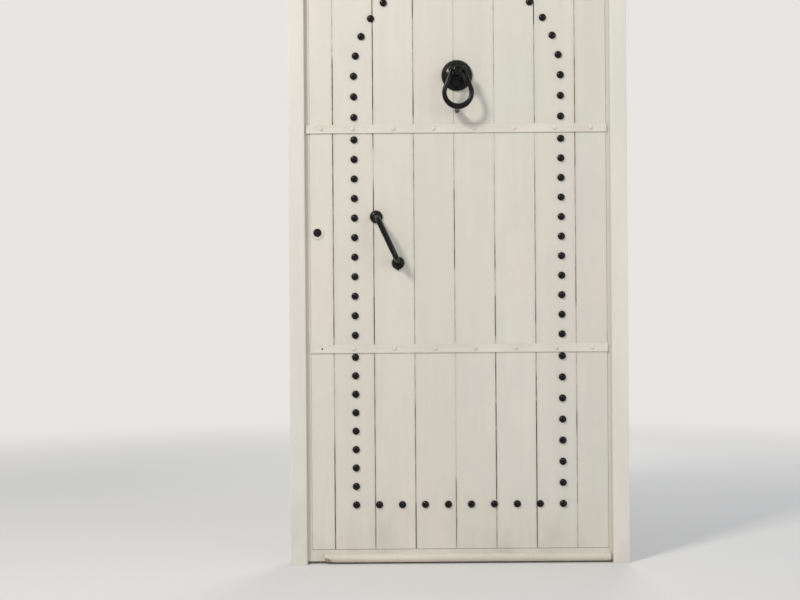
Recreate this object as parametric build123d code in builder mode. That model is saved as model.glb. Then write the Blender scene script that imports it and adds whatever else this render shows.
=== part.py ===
from build123d import *
import math
import os

# Timber plank door in its rebated frame, with a stud arch, straps, knocker, handle and rim lock.
# Millimetres. +Z is up, +X is right as seen from outside, and the outside faces -Y.
# The origin is on the floor line, at the middle of the frame's width and depth.

# Frame
opening_width = 944
opening_height = 1997
jamb_face = 50
frame_depth = 67
stop_width = 15
stop_thickness = 15
arris = 2
head_tenon_length = 30
head_tenon_thickness = 14
head_tenon_shoulder = 8
fixing_hole_r = 5.25
fixing_inner_spacing = 480
fixing_outer_spacing = 1440
fixing_middle_z = 1040

# Leaf and its gaps in the frame
leaf_gap = 3
stop_gap = 1
floor_gap = 9
leaf_thickness = 50
plank_thickness = 20
plank_proud = 2

# Members of the leaf's frame, and the lips that show around the planks
stile_width = 95
bottom_rail_height = 180
top_rail_height = 110
ledge_height = 100
lock_side_lip = 26
hinge_side_lip = 23
bottom_lip = 36
top_lip = 24
rail_tenon_length = 60
rail_tenon_thickness = 12
rail_tenon_shoulder = 12

# Planks
plank_count = 8
first_plank_width = 72
last_plank_width = 97
joint_gap = 1
plank_arris = 1.5
tongue_length = 6
tongue_thickness = 6
groove_clearance = 0.5

# Weather bar
bar_height = 26
bar_depth = 14
bar_bottom_z = 5
bar_lock_side_inset = 39
bar_hinge_side_lap = 3

# Iron straps and their nails
strap_height = 26
strap_thickness = 4
lower_strap_z = 666
upper_strap_below_arch = 164
upper_strap_lap = 12
strap_nail_r = 6.5
strap_nail_head = 3
strap_nail_bevel = 1.8
strap_nail_shank = 5
clench_size = 14
clench_thickness = 2

# Studs
stud_r = 11.5
stud_head = 8.5
stud_bevel = 5
stud_sides = 8
stud_column_inset = 164
stud_bottom_z = 183
arch_drop = 499
bottom_row_spaces = 9
arch_spaces = 16
lock_side_low_count = 9
hinge_side_low_count = 8
middle_count = 11
upper_count = 3
below_lower_strap = 26
above_lower_strap = 42
below_upper_strap = 33
above_upper_strap = 36

# Pull handle
handle_inset = 264.5
handle_z = 1002.5
handle_centres = 158
handle_tilt = 25
handle_stand_off = 58
handle_bar_r = 8.5
handle_lean = 16
handle_bend = 9
handle_sides = 8
rose_r = 20
rose_height = 13
rose_bevel = 9
rose_easing = 3
rose_sides = 16
nub_r = 3.5
nub_height = 6

# Knocker
rosette_r = 48
rosette_height = 24
rosette_bevel = 18
rosette_easing = 5
rosette_sides = 32
boss_neck_r = 11
boss_head_r = 14
boss_reach = 67
boss_head_length = 34
boss_bevel = 3
boss_sides = 16
dimple_r = 8
dimple_depth = 2
pip_r = 3
knocker_pin_r = 4
knocker_pin_clearance = 0.08
knocker_pin_head_r = 6
knocker_pin_head = 2.5
pivot_height = 6
pivot_reach = 47
ring_forward = 8
ring_drop = 74
ring_outer_r = 49.5
ring_inner_r = 33.5
ring_inner_rise = 2
ring_thickness = 13
ring_chamfer = 3.5
ring_sides = 24
arm_thickness = 10
arm_clearance = 1
eye_r = 10
eye_sides = 16
striker_r = 8
striker_rest_gap = 0.3

# Square tangs of the handle and the knocker, peened over plates behind the planks
tang_size = 9
tang_plate_size = 28
tang_plate_thickness = 3
peen_size = 14
peen_height = 4

# Lock
lock_backset = 49
lock_axis_z = 1026
cylinder_r = 12.5
cylinder_proud = 6
cylinder_clearance = 0.3
escutcheon_r = 21.5
escutcheon_sides = 24
escutcheon_thickness = 2.5
plug_r = 7
plug_clearance = 0.06
plug_proud = 1
keyway_width = 1.8
keyway_height = 8
keyway_depth = 20
tailpiece_width = 8
tailpiece_thickness = 2.5
tailpiece_clearance = 0.1
case_width = 92
case_height = 74
case_depth = 25
case_wall = 3
case_edge_inset = 1
case_chamfer = 2.5
case_post = 14
case_post_inset = 10
guide_length = 24
back_plate_thickness = 3
gear_module = 1.5
pinion_teeth = 12
pressure_angle = 20
pinion_addendum = 1.05
rack_addendum = 0.975
root_clearance = 0.375
backlash = 0.15
turn_angle = 120
bolt_thickness = 16
bolt_height = 22
bolt_tail_gap = 1
bolt_clearance = 0.3
spindle_r = 6
spindle_clearance = 0.08
drive_square = 7
drive_length = 12
bolt_bevel = 5
knob_r = 16
knob_thickness = 4
knob_gap = 0.5
wing_length = 30
wing_thickness = 8
wing_height = 16
wing_bevel = 2
keep_width = 30
keep_height = 40
keep_wall = 4
keep_clearance = 1.5
keep_spike_z = 28
keep_flange = 16
keep_flange_thickness = 3

# Hinges
lower_hinge_z = 105
upper_hinge_drop = 59
hinge_pin_r = 6
hinge_pin_clearance = 0.08
hinge_eye_r = 11
hinge_eye_gap = 1.5
hinge_seat_gap = 0.3
band_height = 36
band_length = 340
band_thickness = 5
band_taper = 8
band_spike_count = 4
band_spike_pitch = 80
band_spike_inset = 45
hook_plate_width = 22
hook_plate_height = 112
hook_plate_thickness = 5
hook_spike_pitch = 84
lug_height = 12
pin_rise = 5

# Square spikes that hold the hinges, the keep and the lock
spike_head_r = 6.5
spike_head_height = 2.5
spike_shank = 5
spike_grip = 17

# Levels through the depth, from outside to inside
frame_front_y = -frame_depth / 2
frame_back_y = frame_depth / 2
stop_back_y = frame_front_y + stop_thickness
lip_y = stop_back_y + stop_gap
plank_face_y = lip_y - plank_proud
plank_back_y = plank_face_y + plank_thickness
leaf_back_y = lip_y + leaf_thickness

# Frame outline
stop_x = opening_width / 2
rebate_x = stop_x + stop_width
frame_x = stop_x + jamb_face
rebate_top_z = opening_height + stop_width
frame_top_z = opening_height + jamb_face

# Leaf outline and the field of planks
leaf_x = rebate_x - leaf_gap
leaf_top_z = rebate_top_z - leaf_gap
leaf_bottom_z = floor_gap
field_left = -leaf_x + lock_side_lip
field_right = leaf_x - hinge_side_lip
field_bottom = leaf_bottom_z + bottom_lip
field_top = leaf_top_z - top_lip
plank_width = (field_right - field_left - first_plank_width - last_plank_width) / (plank_count - 2)
stile_inner_left = -leaf_x + stile_width
stile_inner_right = leaf_x - stile_width
bottom_rail_top = leaf_bottom_z + bottom_rail_height
top_rail_bottom = leaf_top_z - top_rail_height

# Places of the studs, straps, knocker, lock's mechanism, hinges and handle
stud_column_x = leaf_x - stud_column_inset
arch_z = leaf_top_z - arch_drop
upper_strap_z = arch_z - upper_strap_below_arch
pivot_z = arch_z + pivot_height
pivot_y = plank_face_y - pivot_reach
ring_y = pivot_y - ring_forward
ring_z = pivot_z - ring_drop
arm_inner_x = boss_head_r + arm_clearance
arm_outer_x = arm_inner_x + arm_thickness
lock_axis_x = -leaf_x + lock_backset
pitch_r = gear_module * pinion_teeth / 2
rack_pitch = math.pi * gear_module
bolt_throw = pitch_r * math.radians(turn_angle)
pitch_line_z = lock_axis_z - pitch_r
bolt_top_z = pitch_line_z + rack_addendum
bolt_bottom_z = bolt_top_z - bolt_height
bolt_middle_z = (bolt_top_z + bolt_bottom_z) / 2
case_left = -leaf_x + case_edge_inset
case_middle_x = case_left + case_width / 2
case_bottom_z = bolt_bottom_z - bolt_clearance - case_wall
case_middle_z = case_bottom_z + case_height / 2
case_right = case_left + case_width
case_top_z = case_bottom_z + case_height
case_front_y = leaf_back_y + back_plate_thickness
case_back_y = case_front_y + case_depth
bolt_length = case_width - case_post_inset - case_post / 2 - bolt_tail_gap
bolt_front_y = case_front_y + bolt_clearance
bolt_back_y = bolt_front_y + bolt_thickness
keep_right = -rebate_x - case_edge_inset
keep_left = keep_right - keep_width
keep_middle_x = (keep_left + keep_right) / 2
upper_hinge_z = leaf_top_z - upper_hinge_drop
hinge_x = leaf_x + leaf_gap / 2
hinge_y = leaf_back_y + hinge_eye_r + hinge_eye_gap
hook_plate_left = hinge_x + hinge_eye_r + hinge_seat_gap
hook_plate_middle_x = hook_plate_left + hook_plate_width / 2
handle_direction = Vector(
    math.sin(math.radians(handle_tilt)), 0, -math.cos(math.radians(handle_tilt))
)
handle_middle = Vector(-leaf_x + handle_inset, plank_face_y, handle_z)


def seen_from_outside(y):
    """Plane of an elevation: local x is X, local y is Z, and its normal points outside."""
    return Plane(origin=(0, y, 0), x_dir=(1, 0, 0), z_dir=(0, -1, 0))


def dome(radius, height, sides, bevel, easing=0):
    """Faceted dome that stands out from y = 0: a prism with its front rim bevelled, then eased."""
    with BuildPart() as piece:
        with BuildSketch(seen_from_outside(0)):
            RegularPolygon(radius, sides)
        extrude(amount=height)
        chamfer(piece.faces().sort_by(Axis.Y)[0].edges(), bevel)
        if easing:
            rings = piece.edges().group_by(Axis.Y)
            chamfer(rings[0] + rings[2], easing)
    return piece.part


def spaced(first, last, count):
    """Evenly spaced values from first to last."""
    return [first + (last - first) * k / (count - 1) for k in range(count)]


def save(piece, name):
    """Label a finished piece and write it."""
    piece.part.label = name
    export_step(piece.part, f"parts/{name}.step")


os.makedirs("parts", exist_ok=True)

# Joints between the planks, from the lock side to the hinge side
joint_xs = [field_left + first_plank_width + plank_width * k for k in range(plank_count - 1)]
plank_edges = [field_left] + joint_xs + [field_right]
plank_middles = [(a + b) / 2 for a, b in zip(plank_edges, plank_edges[1:])]

# Places of the studs: two columns that leave the straps free, the bottom row and the arch
def stud_column(x, low_count):
    low = spaced(stud_bottom_z, lower_strap_z - below_lower_strap, low_count)
    middle = spaced(
        lower_strap_z + above_lower_strap, upper_strap_z - below_upper_strap, middle_count
    )
    high = spaced(upper_strap_z + above_upper_strap, arch_z, upper_count)
    return [(x, z) for z in low + middle + high]


bottom_row = [
    (x, stud_bottom_z)
    for x in spaced(-stud_column_x, stud_column_x, bottom_row_spaces + 1)[1:-1]
]
arch_angles = [math.pi * k / arch_spaces for k in range(1, arch_spaces)]
arch_points = [
    (stud_column_x * math.cos(a), arch_z + stud_column_x * math.sin(a))
    for a in arch_angles
]
stud_points = (
    stud_column(-stud_column_x, lock_side_low_count)
    + stud_column(stud_column_x, hinge_side_low_count)
    + bottom_row
    + arch_points
)

# Places of the strap nails, one in each plank; the lower strap has lost its first one
nail_holes = [(x, z) for z in (lower_strap_z, upper_strap_z) for x in plank_middles]
nail_points = [point for point in nail_holes if point != (plank_middles[0], lower_strap_z)]

# Tangs through the planks: the handle's two and the knocker's
handle_ends = [
    handle_middle - handle_direction * (handle_centres / 2),
    handle_middle + handle_direction * (handle_centres / 2),
]
knocker_place = (0, plank_face_y, arch_z)
tang_points = [(end.X, end.Z) for end in handle_ends] + [(0, arch_z)]

# Spikes from the inside: through the hinge bands and the lock's posts into the leaf, and through the
# hooks and the keep into the frame
band_spike_points = [
    (leaf_x - band_spike_inset - band_spike_pitch * k, z)
    for z in (lower_hinge_z, upper_hinge_z)
    for k in range(band_spike_count)
]
case_spike_points = [
    (case_left + case_post_inset, case_top_z - case_post_inset),
    (case_right - case_post_inset, case_top_z - case_post_inset),
    (case_right - case_post_inset, case_bottom_z + case_post_inset),
]
hook_spike_points = [
    (hook_plate_middle_x, z + side * hook_spike_pitch / 2)
    for z in (lower_hinge_z, upper_hinge_z)
    for side in (-1, 1)
]
keep_spike_points = [(keep_middle_x, bolt_middle_z + side * keep_spike_z) for side in (-1, 1)]

# Lock side and hinge side jambs, rebated from the back, mortised for the head and bored for fixings
fixing_zs = [
    fixing_middle_z + side * spacing / 2
    for spacing in (fixing_inner_spacing, fixing_outer_spacing)
    for side in (-1, 1)
]
rebate_middle_y = (stop_back_y + frame_back_y) / 2
head_tenon_bottom = rebate_top_z + head_tenon_shoulder
head_tenon_top = frame_top_z - head_tenon_shoulder
for name, side in (("jamb_lock_side", -1), ("jamb_hinge_side", 1)):
    with BuildPart() as jamb:
        with BuildSketch(Plane.XY):
            with Locations((side * (stop_x + frame_x) / 2, 0)):
                Rectangle(jamb_face, frame_depth)
            with Locations((side * (stop_x + rebate_x) / 2, rebate_middle_y)):
                Rectangle(stop_width, frame_back_y - stop_back_y, mode=Mode.SUBTRACT)
        extrude(amount=frame_top_z)
        front_arris = jamb.edges().filter_by(Axis.Z).sort_by_distance(
            (side * stop_x, frame_front_y, frame_top_z / 2)
        )[0]
        chamfer(front_arris, arris)
        with BuildSketch(Plane.YZ.offset(side * rebate_x)):
            with Locations((rebate_middle_y, (head_tenon_bottom + head_tenon_top) / 2)):
                Rectangle(head_tenon_thickness, head_tenon_top - head_tenon_bottom)
        extrude(amount=side * head_tenon_length, mode=Mode.SUBTRACT)
        with BuildSketch(Plane.YZ.offset(side * rebate_x)):
            with Locations(*[(rebate_middle_y, z) for z in fixing_zs]):
                Circle(fixing_hole_r)
        extrude(amount=side * (jamb_face - stop_width), mode=Mode.SUBTRACT)
        with BuildSketch(seen_from_outside(frame_back_y)):
            with Locations(*(keep_spike_points if side < 0 else hook_spike_points)):
                Rectangle(spike_shank, spike_shank)
        extrude(amount=spike_grip, mode=Mode.SUBTRACT)
    save(jamb, name)

# Head of the frame, between the jambs, with a tenon at each end
with BuildPart() as head:
    with BuildSketch(Plane.YZ):
        with Locations((0, (opening_height + frame_top_z) / 2)):
            Rectangle(frame_depth, jamb_face)
        with Locations((rebate_middle_y, (opening_height + rebate_top_z) / 2)):
            Rectangle(frame_back_y - stop_back_y, stop_width, mode=Mode.SUBTRACT)
    extrude(amount=stop_x, both=True)
    head_arris = head.edges().filter_by(Axis.X).sort_by_distance((0, frame_front_y, opening_height))[0]
    chamfer(head_arris, arris)
    with BuildSketch(Plane.YZ):
        with Locations((rebate_middle_y, (rebate_top_z + frame_top_z) / 2)):
            Rectangle(frame_back_y - stop_back_y, frame_top_z - rebate_top_z)
    extrude(amount=rebate_x, both=True)
    with BuildSketch(Plane.YZ):
        with Locations((rebate_middle_y, (head_tenon_bottom + head_tenon_top) / 2)):
            Rectangle(head_tenon_thickness, head_tenon_top - head_tenon_bottom)
    extrude(amount=rebate_x + head_tenon_length, both=True)
save(head, "head")

# Stiles: full thickness at the lip, rebated for the planks, with blind mortises for rails and ledges
rail_back_y = (plank_back_y + leaf_back_y) / 2
rail_spans = [
    (leaf_bottom_z, bottom_rail_top),
    (lower_strap_z - ledge_height / 2, lower_strap_z + ledge_height / 2),
    (upper_strap_z - ledge_height / 2, upper_strap_z + ledge_height / 2),
    (top_rail_bottom, leaf_top_z),
]
tenon_spans = [(low + rail_tenon_shoulder, high - rail_tenon_shoulder) for low, high in rail_spans]
tenon_places = [(rail_back_y, (low + high) / 2) for low, high in tenon_spans]
for name, side, lip in (
    ("stile_lock_side", -1, lock_side_lip),
    ("stile_hinge_side", 1, hinge_side_lip),
):
    with BuildPart() as stile:
        with BuildSketch(Plane.XY.offset(leaf_bottom_z)):
            with Locations((side * (leaf_x - stile_width / 2), (lip_y + leaf_back_y) / 2)):
                Rectangle(stile_width, leaf_thickness)
            with Locations((side * (leaf_x - (stile_width + lip) / 2), (lip_y + plank_back_y) / 2)):
                Rectangle(stile_width - lip, plank_back_y - lip_y, mode=Mode.SUBTRACT)
        extrude(amount=leaf_top_z - leaf_bottom_z)
        with BuildSketch(Plane.YZ.offset(side * (leaf_x - stile_width))):
            for place, (low, high) in zip(tenon_places, tenon_spans):
                with Locations(place):
                    Rectangle(rail_tenon_thickness, high - low)
        extrude(amount=side * rail_tenon_length, mode=Mode.SUBTRACT)
        if side < 0:
            with BuildSketch(seen_from_outside(plank_back_y)):
                with Locations((lock_axis_x, lock_axis_z)):
                    Circle(cylinder_r + cylinder_clearance)
            extrude(amount=plank_back_y - leaf_back_y, mode=Mode.SUBTRACT)
        with BuildSketch(seen_from_outside(plank_back_y)):
            with Locations(*nail_holes):
                Rectangle(strap_nail_shank, strap_nail_shank)
        extrude(amount=plank_back_y - leaf_back_y, mode=Mode.SUBTRACT)
        with BuildSketch(seen_from_outside(leaf_back_y)):
            with Locations(*(case_spike_points if side < 0 else band_spike_points)):
                Rectangle(spike_shank, spike_shank)
        extrude(amount=spike_grip, mode=Mode.SUBTRACT)
    save(stile, name)

# Rails with a lip below or above the planks, and plain ledges behind the straps, all tenoned
field_middle_x = (field_left + field_right) / 2
field_width = field_right - field_left
rail_names = ("bottom_rail", "lower_ledge", "upper_ledge", "top_rail")
lip_spans = {"bottom_rail": (leaf_bottom_z, field_bottom), "top_rail": (field_top, leaf_top_z)}
for name, (low, high), (tenon_low, tenon_high) in zip(rail_names, rail_spans, tenon_spans):
    with BuildPart() as rail:
        with BuildSketch(seen_from_outside(plank_back_y)):
            with Locations((0, (low + high) / 2)):
                Rectangle(stile_inner_right - stile_inner_left, high - low)
        extrude(amount=plank_back_y - leaf_back_y)
        with BuildSketch(Plane.YZ):
            with Locations((rail_back_y, (tenon_low + tenon_high) / 2)):
                Rectangle(rail_tenon_thickness, tenon_high - tenon_low)
        extrude(amount=stile_inner_right + rail_tenon_length, both=True)
        if name in lip_spans:
            lip_low, lip_high = lip_spans[name]
            with BuildSketch(seen_from_outside(plank_back_y)):
                with Locations((field_middle_x, (lip_low + lip_high) / 2)):
                    Rectangle(field_width, lip_high - lip_low)
            extrude(amount=plank_back_y - lip_y)
            with BuildSketch(seen_from_outside(leaf_back_y)):
                with Locations(*band_spike_points):
                    Rectangle(spike_shank, spike_shank)
            extrude(amount=spike_grip, mode=Mode.SUBTRACT)
        else:
            with BuildSketch(seen_from_outside(plank_back_y)):
                with Locations(*nail_holes):
                    Rectangle(strap_nail_shank, strap_nail_shank)
            extrude(amount=plank_back_y - leaf_back_y, mode=Mode.SUBTRACT)
    save(rail, name)

# Planks: tongue on the hinge side, groove on the lock side, front arrises eased, holes for all that
# goes through or into them
tongue_y = (plank_face_y + plank_back_y) / 2
field_middle_z = (field_bottom + field_top) / 2
plank_length = field_top - field_bottom - 2 * joint_gap
last = len(plank_middles) - 1
for index, (left, right) in enumerate(zip(plank_edges, plank_edges[1:])):
    body_left, body_right = left + joint_gap / 2, right - joint_gap / 2
    reach = tongue_length + joint_gap + tang_size
    near_nails = [p for p in nail_holes if left < p[0] < right]
    near_tangs = [p for p in tang_points if left - reach < p[0] < right + reach]
    with BuildPart() as plank:
        with BuildSketch(Plane.XY.offset(field_middle_z)):
            with Locations(((body_left + body_right) / 2, tongue_y)):
                Rectangle(body_right - body_left, plank_thickness)
            if index < last:
                with Locations((body_right, tongue_y)):
                    Rectangle(tongue_length + joint_gap, tongue_thickness, align=(Align.MIN, Align.CENTER))
            if index > 0:
                groove_depth = tongue_length + groove_clearance
                groove_width = tongue_thickness + groove_clearance
                with Locations((body_left, tongue_y)):
                    Rectangle(groove_depth, groove_width, align=(Align.MIN, Align.CENTER), mode=Mode.SUBTRACT)
        extrude(amount=plank_length / 2, both=True)
        arrises = plank.edges().filter_by(Axis.Z).group_by(Axis.Y)[0]
        chamfer(arrises, plank_arris)
        with BuildSketch(seen_from_outside(plank_face_y)):
            with Locations(*near_nails):
                Rectangle(strap_nail_shank, strap_nail_shank)
            if near_tangs:
                with Locations(*near_tangs):
                    Rectangle(tang_size, tang_size)
            if left < lock_axis_x < right:
                with Locations((lock_axis_x, lock_axis_z)):
                    Circle(cylinder_r + cylinder_clearance)
        extrude(amount=-plank_thickness, mode=Mode.SUBTRACT)
    save(plank, f"plank_{index + 1}")

# Half-round weather bar on the bottom rail's lip
bar_left = field_left + bar_lock_side_inset
bar_right = field_right + bar_hinge_side_lap
with BuildPart() as weather_bar:
    with BuildSketch(Plane.YZ.offset(bar_left)):
        with BuildLine():
            Line((lip_y, bar_bottom_z), (lip_y, bar_bottom_z + bar_height))
            ThreePointArc(
                (lip_y, bar_bottom_z + bar_height),
                (lip_y - bar_depth, bar_bottom_z + bar_height / 2),
                (lip_y, bar_bottom_z),
            )
        make_face()
    extrude(amount=bar_right - bar_left)
save(weather_bar, "weather_bar")

# Flat iron straps; the upper one laps over the lock side lip
for name, strap_z, lap in (
    ("lower_strap", lower_strap_z, 0),
    ("upper_strap", upper_strap_z, upper_strap_lap),
):
    with BuildPart() as strap:
        with BuildSketch(seen_from_outside(plank_face_y)):
            with Locations((field_left - lap, strap_z)):
                Rectangle(field_width + lap, strap_height, align=(Align.MIN, Align.CENTER))
            with Locations(*[point for point in nail_holes if point[1] == strap_z]):
                Rectangle(strap_nail_shank, strap_nail_shank, mode=Mode.SUBTRACT)
        extrude(amount=strap_thickness)
    save(strap, name)

# One strap nail: low domed head, square shank through strap, plank and ledge, clenched at the back
strap_front_y = plank_face_y - strap_thickness
with BuildPart() as strap_nail:
    add(dome(strap_nail_r, strap_nail_head, stud_sides, strap_nail_bevel))
    with BuildSketch(seen_from_outside(0)):
        Rectangle(strap_nail_shank, strap_nail_shank)
    extrude(amount=strap_front_y - leaf_back_y)
    with BuildSketch(seen_from_outside(leaf_back_y - strap_front_y)):
        Rectangle(clench_size, clench_size)
    extrude(amount=-clench_thickness)

with BuildPart() as strap_nails:
    with Locations(*[(x, strap_front_y, z) for x, z in nail_points]):
        add(strap_nail.part)
save(strap_nails, "strap_nails")

# Studs: faceted domes, flat on the planks
with BuildPart() as studs:
    with Locations(*[(x, plank_face_y, z) for x, z in stud_points]):
        add(dome(stud_r, stud_head, stud_sides, stud_bevel))
save(studs, "studs")

# One tang: square through plank and plate, its end peened over
with BuildPart() as tang:
    with BuildSketch(seen_from_outside(0)):
        Rectangle(tang_size, tang_size)
    extrude(amount=-(plank_thickness + tang_plate_thickness))
    with BuildSketch(seen_from_outside(plank_thickness + tang_plate_thickness)):
        Rectangle(peen_size, peen_size)
    extrude(amount=-peen_height)

# Pull handle, forged in one: faceted bar on leaning legs, a domed rose at each foot, two tangs and a
# nub under the lower rose
handle_plane = Plane(
    origin=handle_middle,
    x_dir=handle_direction,
    z_dir=handle_direction.cross(Vector(0, -1, 0)),
)
half_centres = handle_centres / 2
leg_shift = handle_lean * handle_bar_r / handle_stand_off
bend_x = half_centres - handle_lean
leg_length = math.hypot(handle_lean, handle_stand_off)
bend_foot_x = bend_x + handle_bend * handle_lean / leg_length
bend_foot_y = handle_stand_off * (1 - handle_bend / leg_length)
handle_path_points = [
    (half_centres + leg_shift, -handle_bar_r),
    (bend_foot_x, bend_foot_y),
    (bend_x - handle_bend, handle_stand_off),
]
with BuildPart() as pull_handle:
    with BuildLine(handle_plane):
        bar_path = Polyline(
            *[(-x, y) for x, y in handle_path_points],
            *reversed(handle_path_points),
        )
    with BuildSketch(Plane(origin=bar_path @ 0, z_dir=bar_path % 0)):
        RegularPolygon(handle_bar_r, handle_sides)
    sweep(transition=Transition.RIGHT)
    split(bisect_by=seen_from_outside(plank_face_y), keep=Keep.TOP)
    with Locations(*handle_ends):
        add(dome(rose_r, rose_height, rose_sides, rose_bevel, rose_easing))
        add(tang.part)
    with BuildSketch(seen_from_outside(plank_face_y)):
        with Locations((handle_ends[1].X, handle_ends[1].Z - rose_r)):
            RegularPolygon(nub_r, handle_sides)
    extrude(amount=nub_height)
save(pull_handle, "pull_handle")

# Knocker base, cast in one: domed rosette, turned boss with a waist and a dimpled end, cross bore for
# the pin, and its tang
boss_front_y = plank_face_y - boss_reach
with BuildPart() as knocker_base:
    with BuildSketch(seen_from_outside(boss_front_y)):
        with Locations((0, arch_z)):
            RegularPolygon(boss_head_r, boss_sides)
    extrude(amount=-boss_head_length)
    chamfer(knocker_base.faces().filter_by(Axis.Y).edges(), boss_bevel)
    with BuildSketch(seen_from_outside(boss_front_y)):
        with Locations((0, arch_z)):
            RegularPolygon(dimple_r, boss_sides)
            RegularPolygon(pip_r, boss_sides, mode=Mode.SUBTRACT)
    extrude(amount=-dimple_depth, mode=Mode.SUBTRACT)
    with BuildSketch(seen_from_outside(plank_face_y)):
        with Locations((0, arch_z)):
            RegularPolygon(boss_neck_r, boss_sides)
    extrude(amount=boss_reach - boss_head_length)
    with Locations(knocker_place):
        add(dome(rosette_r, rosette_height, rosette_sides, rosette_bevel, rosette_easing))
        add(tang.part)
    with BuildSketch(Plane.YZ):
        with Locations((pivot_y, pivot_z)):
            Circle(knocker_pin_r)
    extrude(amount=boss_head_r, both=True, mode=Mode.SUBTRACT)
save(knocker_base, "knocker_base")

# Plates behind the planks, under the peened ends of the tangs
with BuildPart() as tang_plates:
    with BuildSketch(seen_from_outside(plank_back_y)):
        with Locations(*tang_points):
            Rectangle(tang_plate_size, tang_plate_size)
            Rectangle(tang_size, tang_size, mode=Mode.SUBTRACT)
    extrude(amount=-tang_plate_thickness)
save(tang_plates, "tang_plates")

# Pin through the boss and the ring's eyes, with a peened head at each end
with BuildPart() as knocker_pin:
    with BuildSketch(Plane.YZ):
        with Locations((pivot_y, pivot_z)):
            Circle(knocker_pin_r)
    extrude(amount=arm_outer_x + arm_clearance, both=True)
    for side in (-1, 1):
        with BuildSketch(Plane.YZ.offset(side * (arm_outer_x + arm_clearance))):
            with Locations((pivot_y, pivot_z)):
                RegularPolygon(knocker_pin_head_r, stud_sides)
        extrude(amount=side * knocker_pin_head)
save(knocker_pin, "knocker_pin")

# Knocker ring: a forged teardrop, thicker at the bottom, open at the top between two arms that end in
# eyes, with a striker that reaches back to the planks
ring_front_y = ring_y - ring_thickness / 2
ring_back_y = ring_y + ring_thickness / 2
striker_z = ring_z - (ring_outer_r + ring_inner_r - ring_inner_rise) / 2
with BuildPart() as knocker_ring:
    with BuildSketch(seen_from_outside(ring_back_y)):
        with BuildSketch(mode=Mode.PRIVATE) as outer:
            with Locations((0, ring_z)):
                RegularPolygon(ring_outer_r, ring_sides)
            with Locations((0, pivot_z)):
                Rectangle(2 * arm_outer_x, eye_r)
            make_hull(outer.sketch.edges())
        with BuildSketch(mode=Mode.PRIVATE) as inner:
            with Locations((0, ring_z + ring_inner_rise)):
                RegularPolygon(ring_inner_r, ring_sides)
            with Locations((0, pivot_z)):
                Rectangle(2 * arm_inner_x, 2 * eye_r)
            make_hull(inner.sketch.edges())
        add(outer.sketch)
        add(inner.sketch, mode=Mode.SUBTRACT)
    extrude(amount=ring_thickness)
    rims = knocker_ring.faces().filter_by(Axis.Y).edges()
    chamfer(rims, ring_chamfer)
    for side in (-1, 1):
        with BuildSketch(Plane.YZ.offset(side * arm_outer_x)):
            with Locations((pivot_y, pivot_z)):
                RegularPolygon(eye_r, eye_sides)
        extrude(amount=-side * arm_thickness)
        with BuildSketch(Plane.YZ.offset(side * arm_outer_x)):
            with Locations((pivot_y, pivot_z)):
                RegularPolygon(eye_r, eye_sides)
        extrude(amount=side * (ring_outer_r - arm_outer_x), mode=Mode.SUBTRACT)
    with BuildSketch(Plane.YZ):
        with Locations((pivot_y, pivot_z)):
            Circle(knocker_pin_r + knocker_pin_clearance)
    extrude(amount=ring_outer_r, both=True, mode=Mode.SUBTRACT)
    with BuildSketch(seen_from_outside(ring_y)):
        with Locations((0, striker_z)):
            RegularPolygon(striker_r, stud_sides)
    extrude(amount=ring_y - plank_face_y + striker_rest_gap)
save(knocker_ring, "knocker_ring")

# Escutcheon around the lock's cylinder, on the plank
with BuildPart() as lock_escutcheon:
    with BuildSketch(seen_from_outside(plank_face_y)):
        with Locations((lock_axis_x, lock_axis_z)):
            RegularPolygon(escutcheon_r, escutcheon_sides)
            RegularPolygon(
                cylinder_r + cylinder_clearance,
                escutcheon_sides,
                major_radius=False,
                mode=Mode.SUBTRACT,
            )
    extrude(amount=escutcheon_thickness)
save(lock_escutcheon, "lock_escutcheon")

# Lock cylinder: a round body through plank and stile, bored for the key plug
cylinder_front_y = plank_face_y - cylinder_proud
with BuildPart() as lock_cylinder:
    with BuildSketch(seen_from_outside(leaf_back_y)):
        with Locations((lock_axis_x, lock_axis_z)):
            Circle(cylinder_r)
            Circle(plug_r + plug_clearance, mode=Mode.SUBTRACT)
    extrude(amount=leaf_back_y - cylinder_front_y)
save(lock_cylinder, "lock_cylinder")

# Key plug with its keyway, and the flat tailpiece that turns the pinion
with BuildPart() as key_plug:
    with BuildSketch(seen_from_outside(leaf_back_y)):
        with Locations((lock_axis_x, lock_axis_z)):
            Circle(plug_r)
    extrude(amount=leaf_back_y - cylinder_front_y + plug_proud)
    with BuildSketch(seen_from_outside(cylinder_front_y - plug_proud)):
        with Locations((lock_axis_x, lock_axis_z)):
            Rectangle(keyway_width, keyway_height)
    extrude(amount=-keyway_depth, mode=Mode.SUBTRACT)
    with BuildSketch(seen_from_outside(leaf_back_y)):
        with Locations((lock_axis_x, lock_axis_z)):
            Rectangle(tailpiece_width, tailpiece_thickness)
    extrude(amount=leaf_back_y - bolt_back_y)
save(key_plug, "key_plug")

# Back plate of the rim lock, flat on the stile, with the hole that the tailpiece comes through
with BuildPart() as lock_plate:
    with BuildSketch(seen_from_outside(leaf_back_y)):
        with Locations((case_middle_x, case_middle_z)):
            Rectangle(case_width, case_height)
        with Locations((lock_axis_x, lock_axis_z)):
            RegularPolygon(plug_r, escutcheon_sides, mode=Mode.SUBTRACT)
        with Locations(*case_spike_points):
            Rectangle(spike_shank, spike_shank, mode=Mode.SUBTRACT)
    extrude(amount=-back_plate_thickness)
save(lock_plate, "lock_plate")

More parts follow.
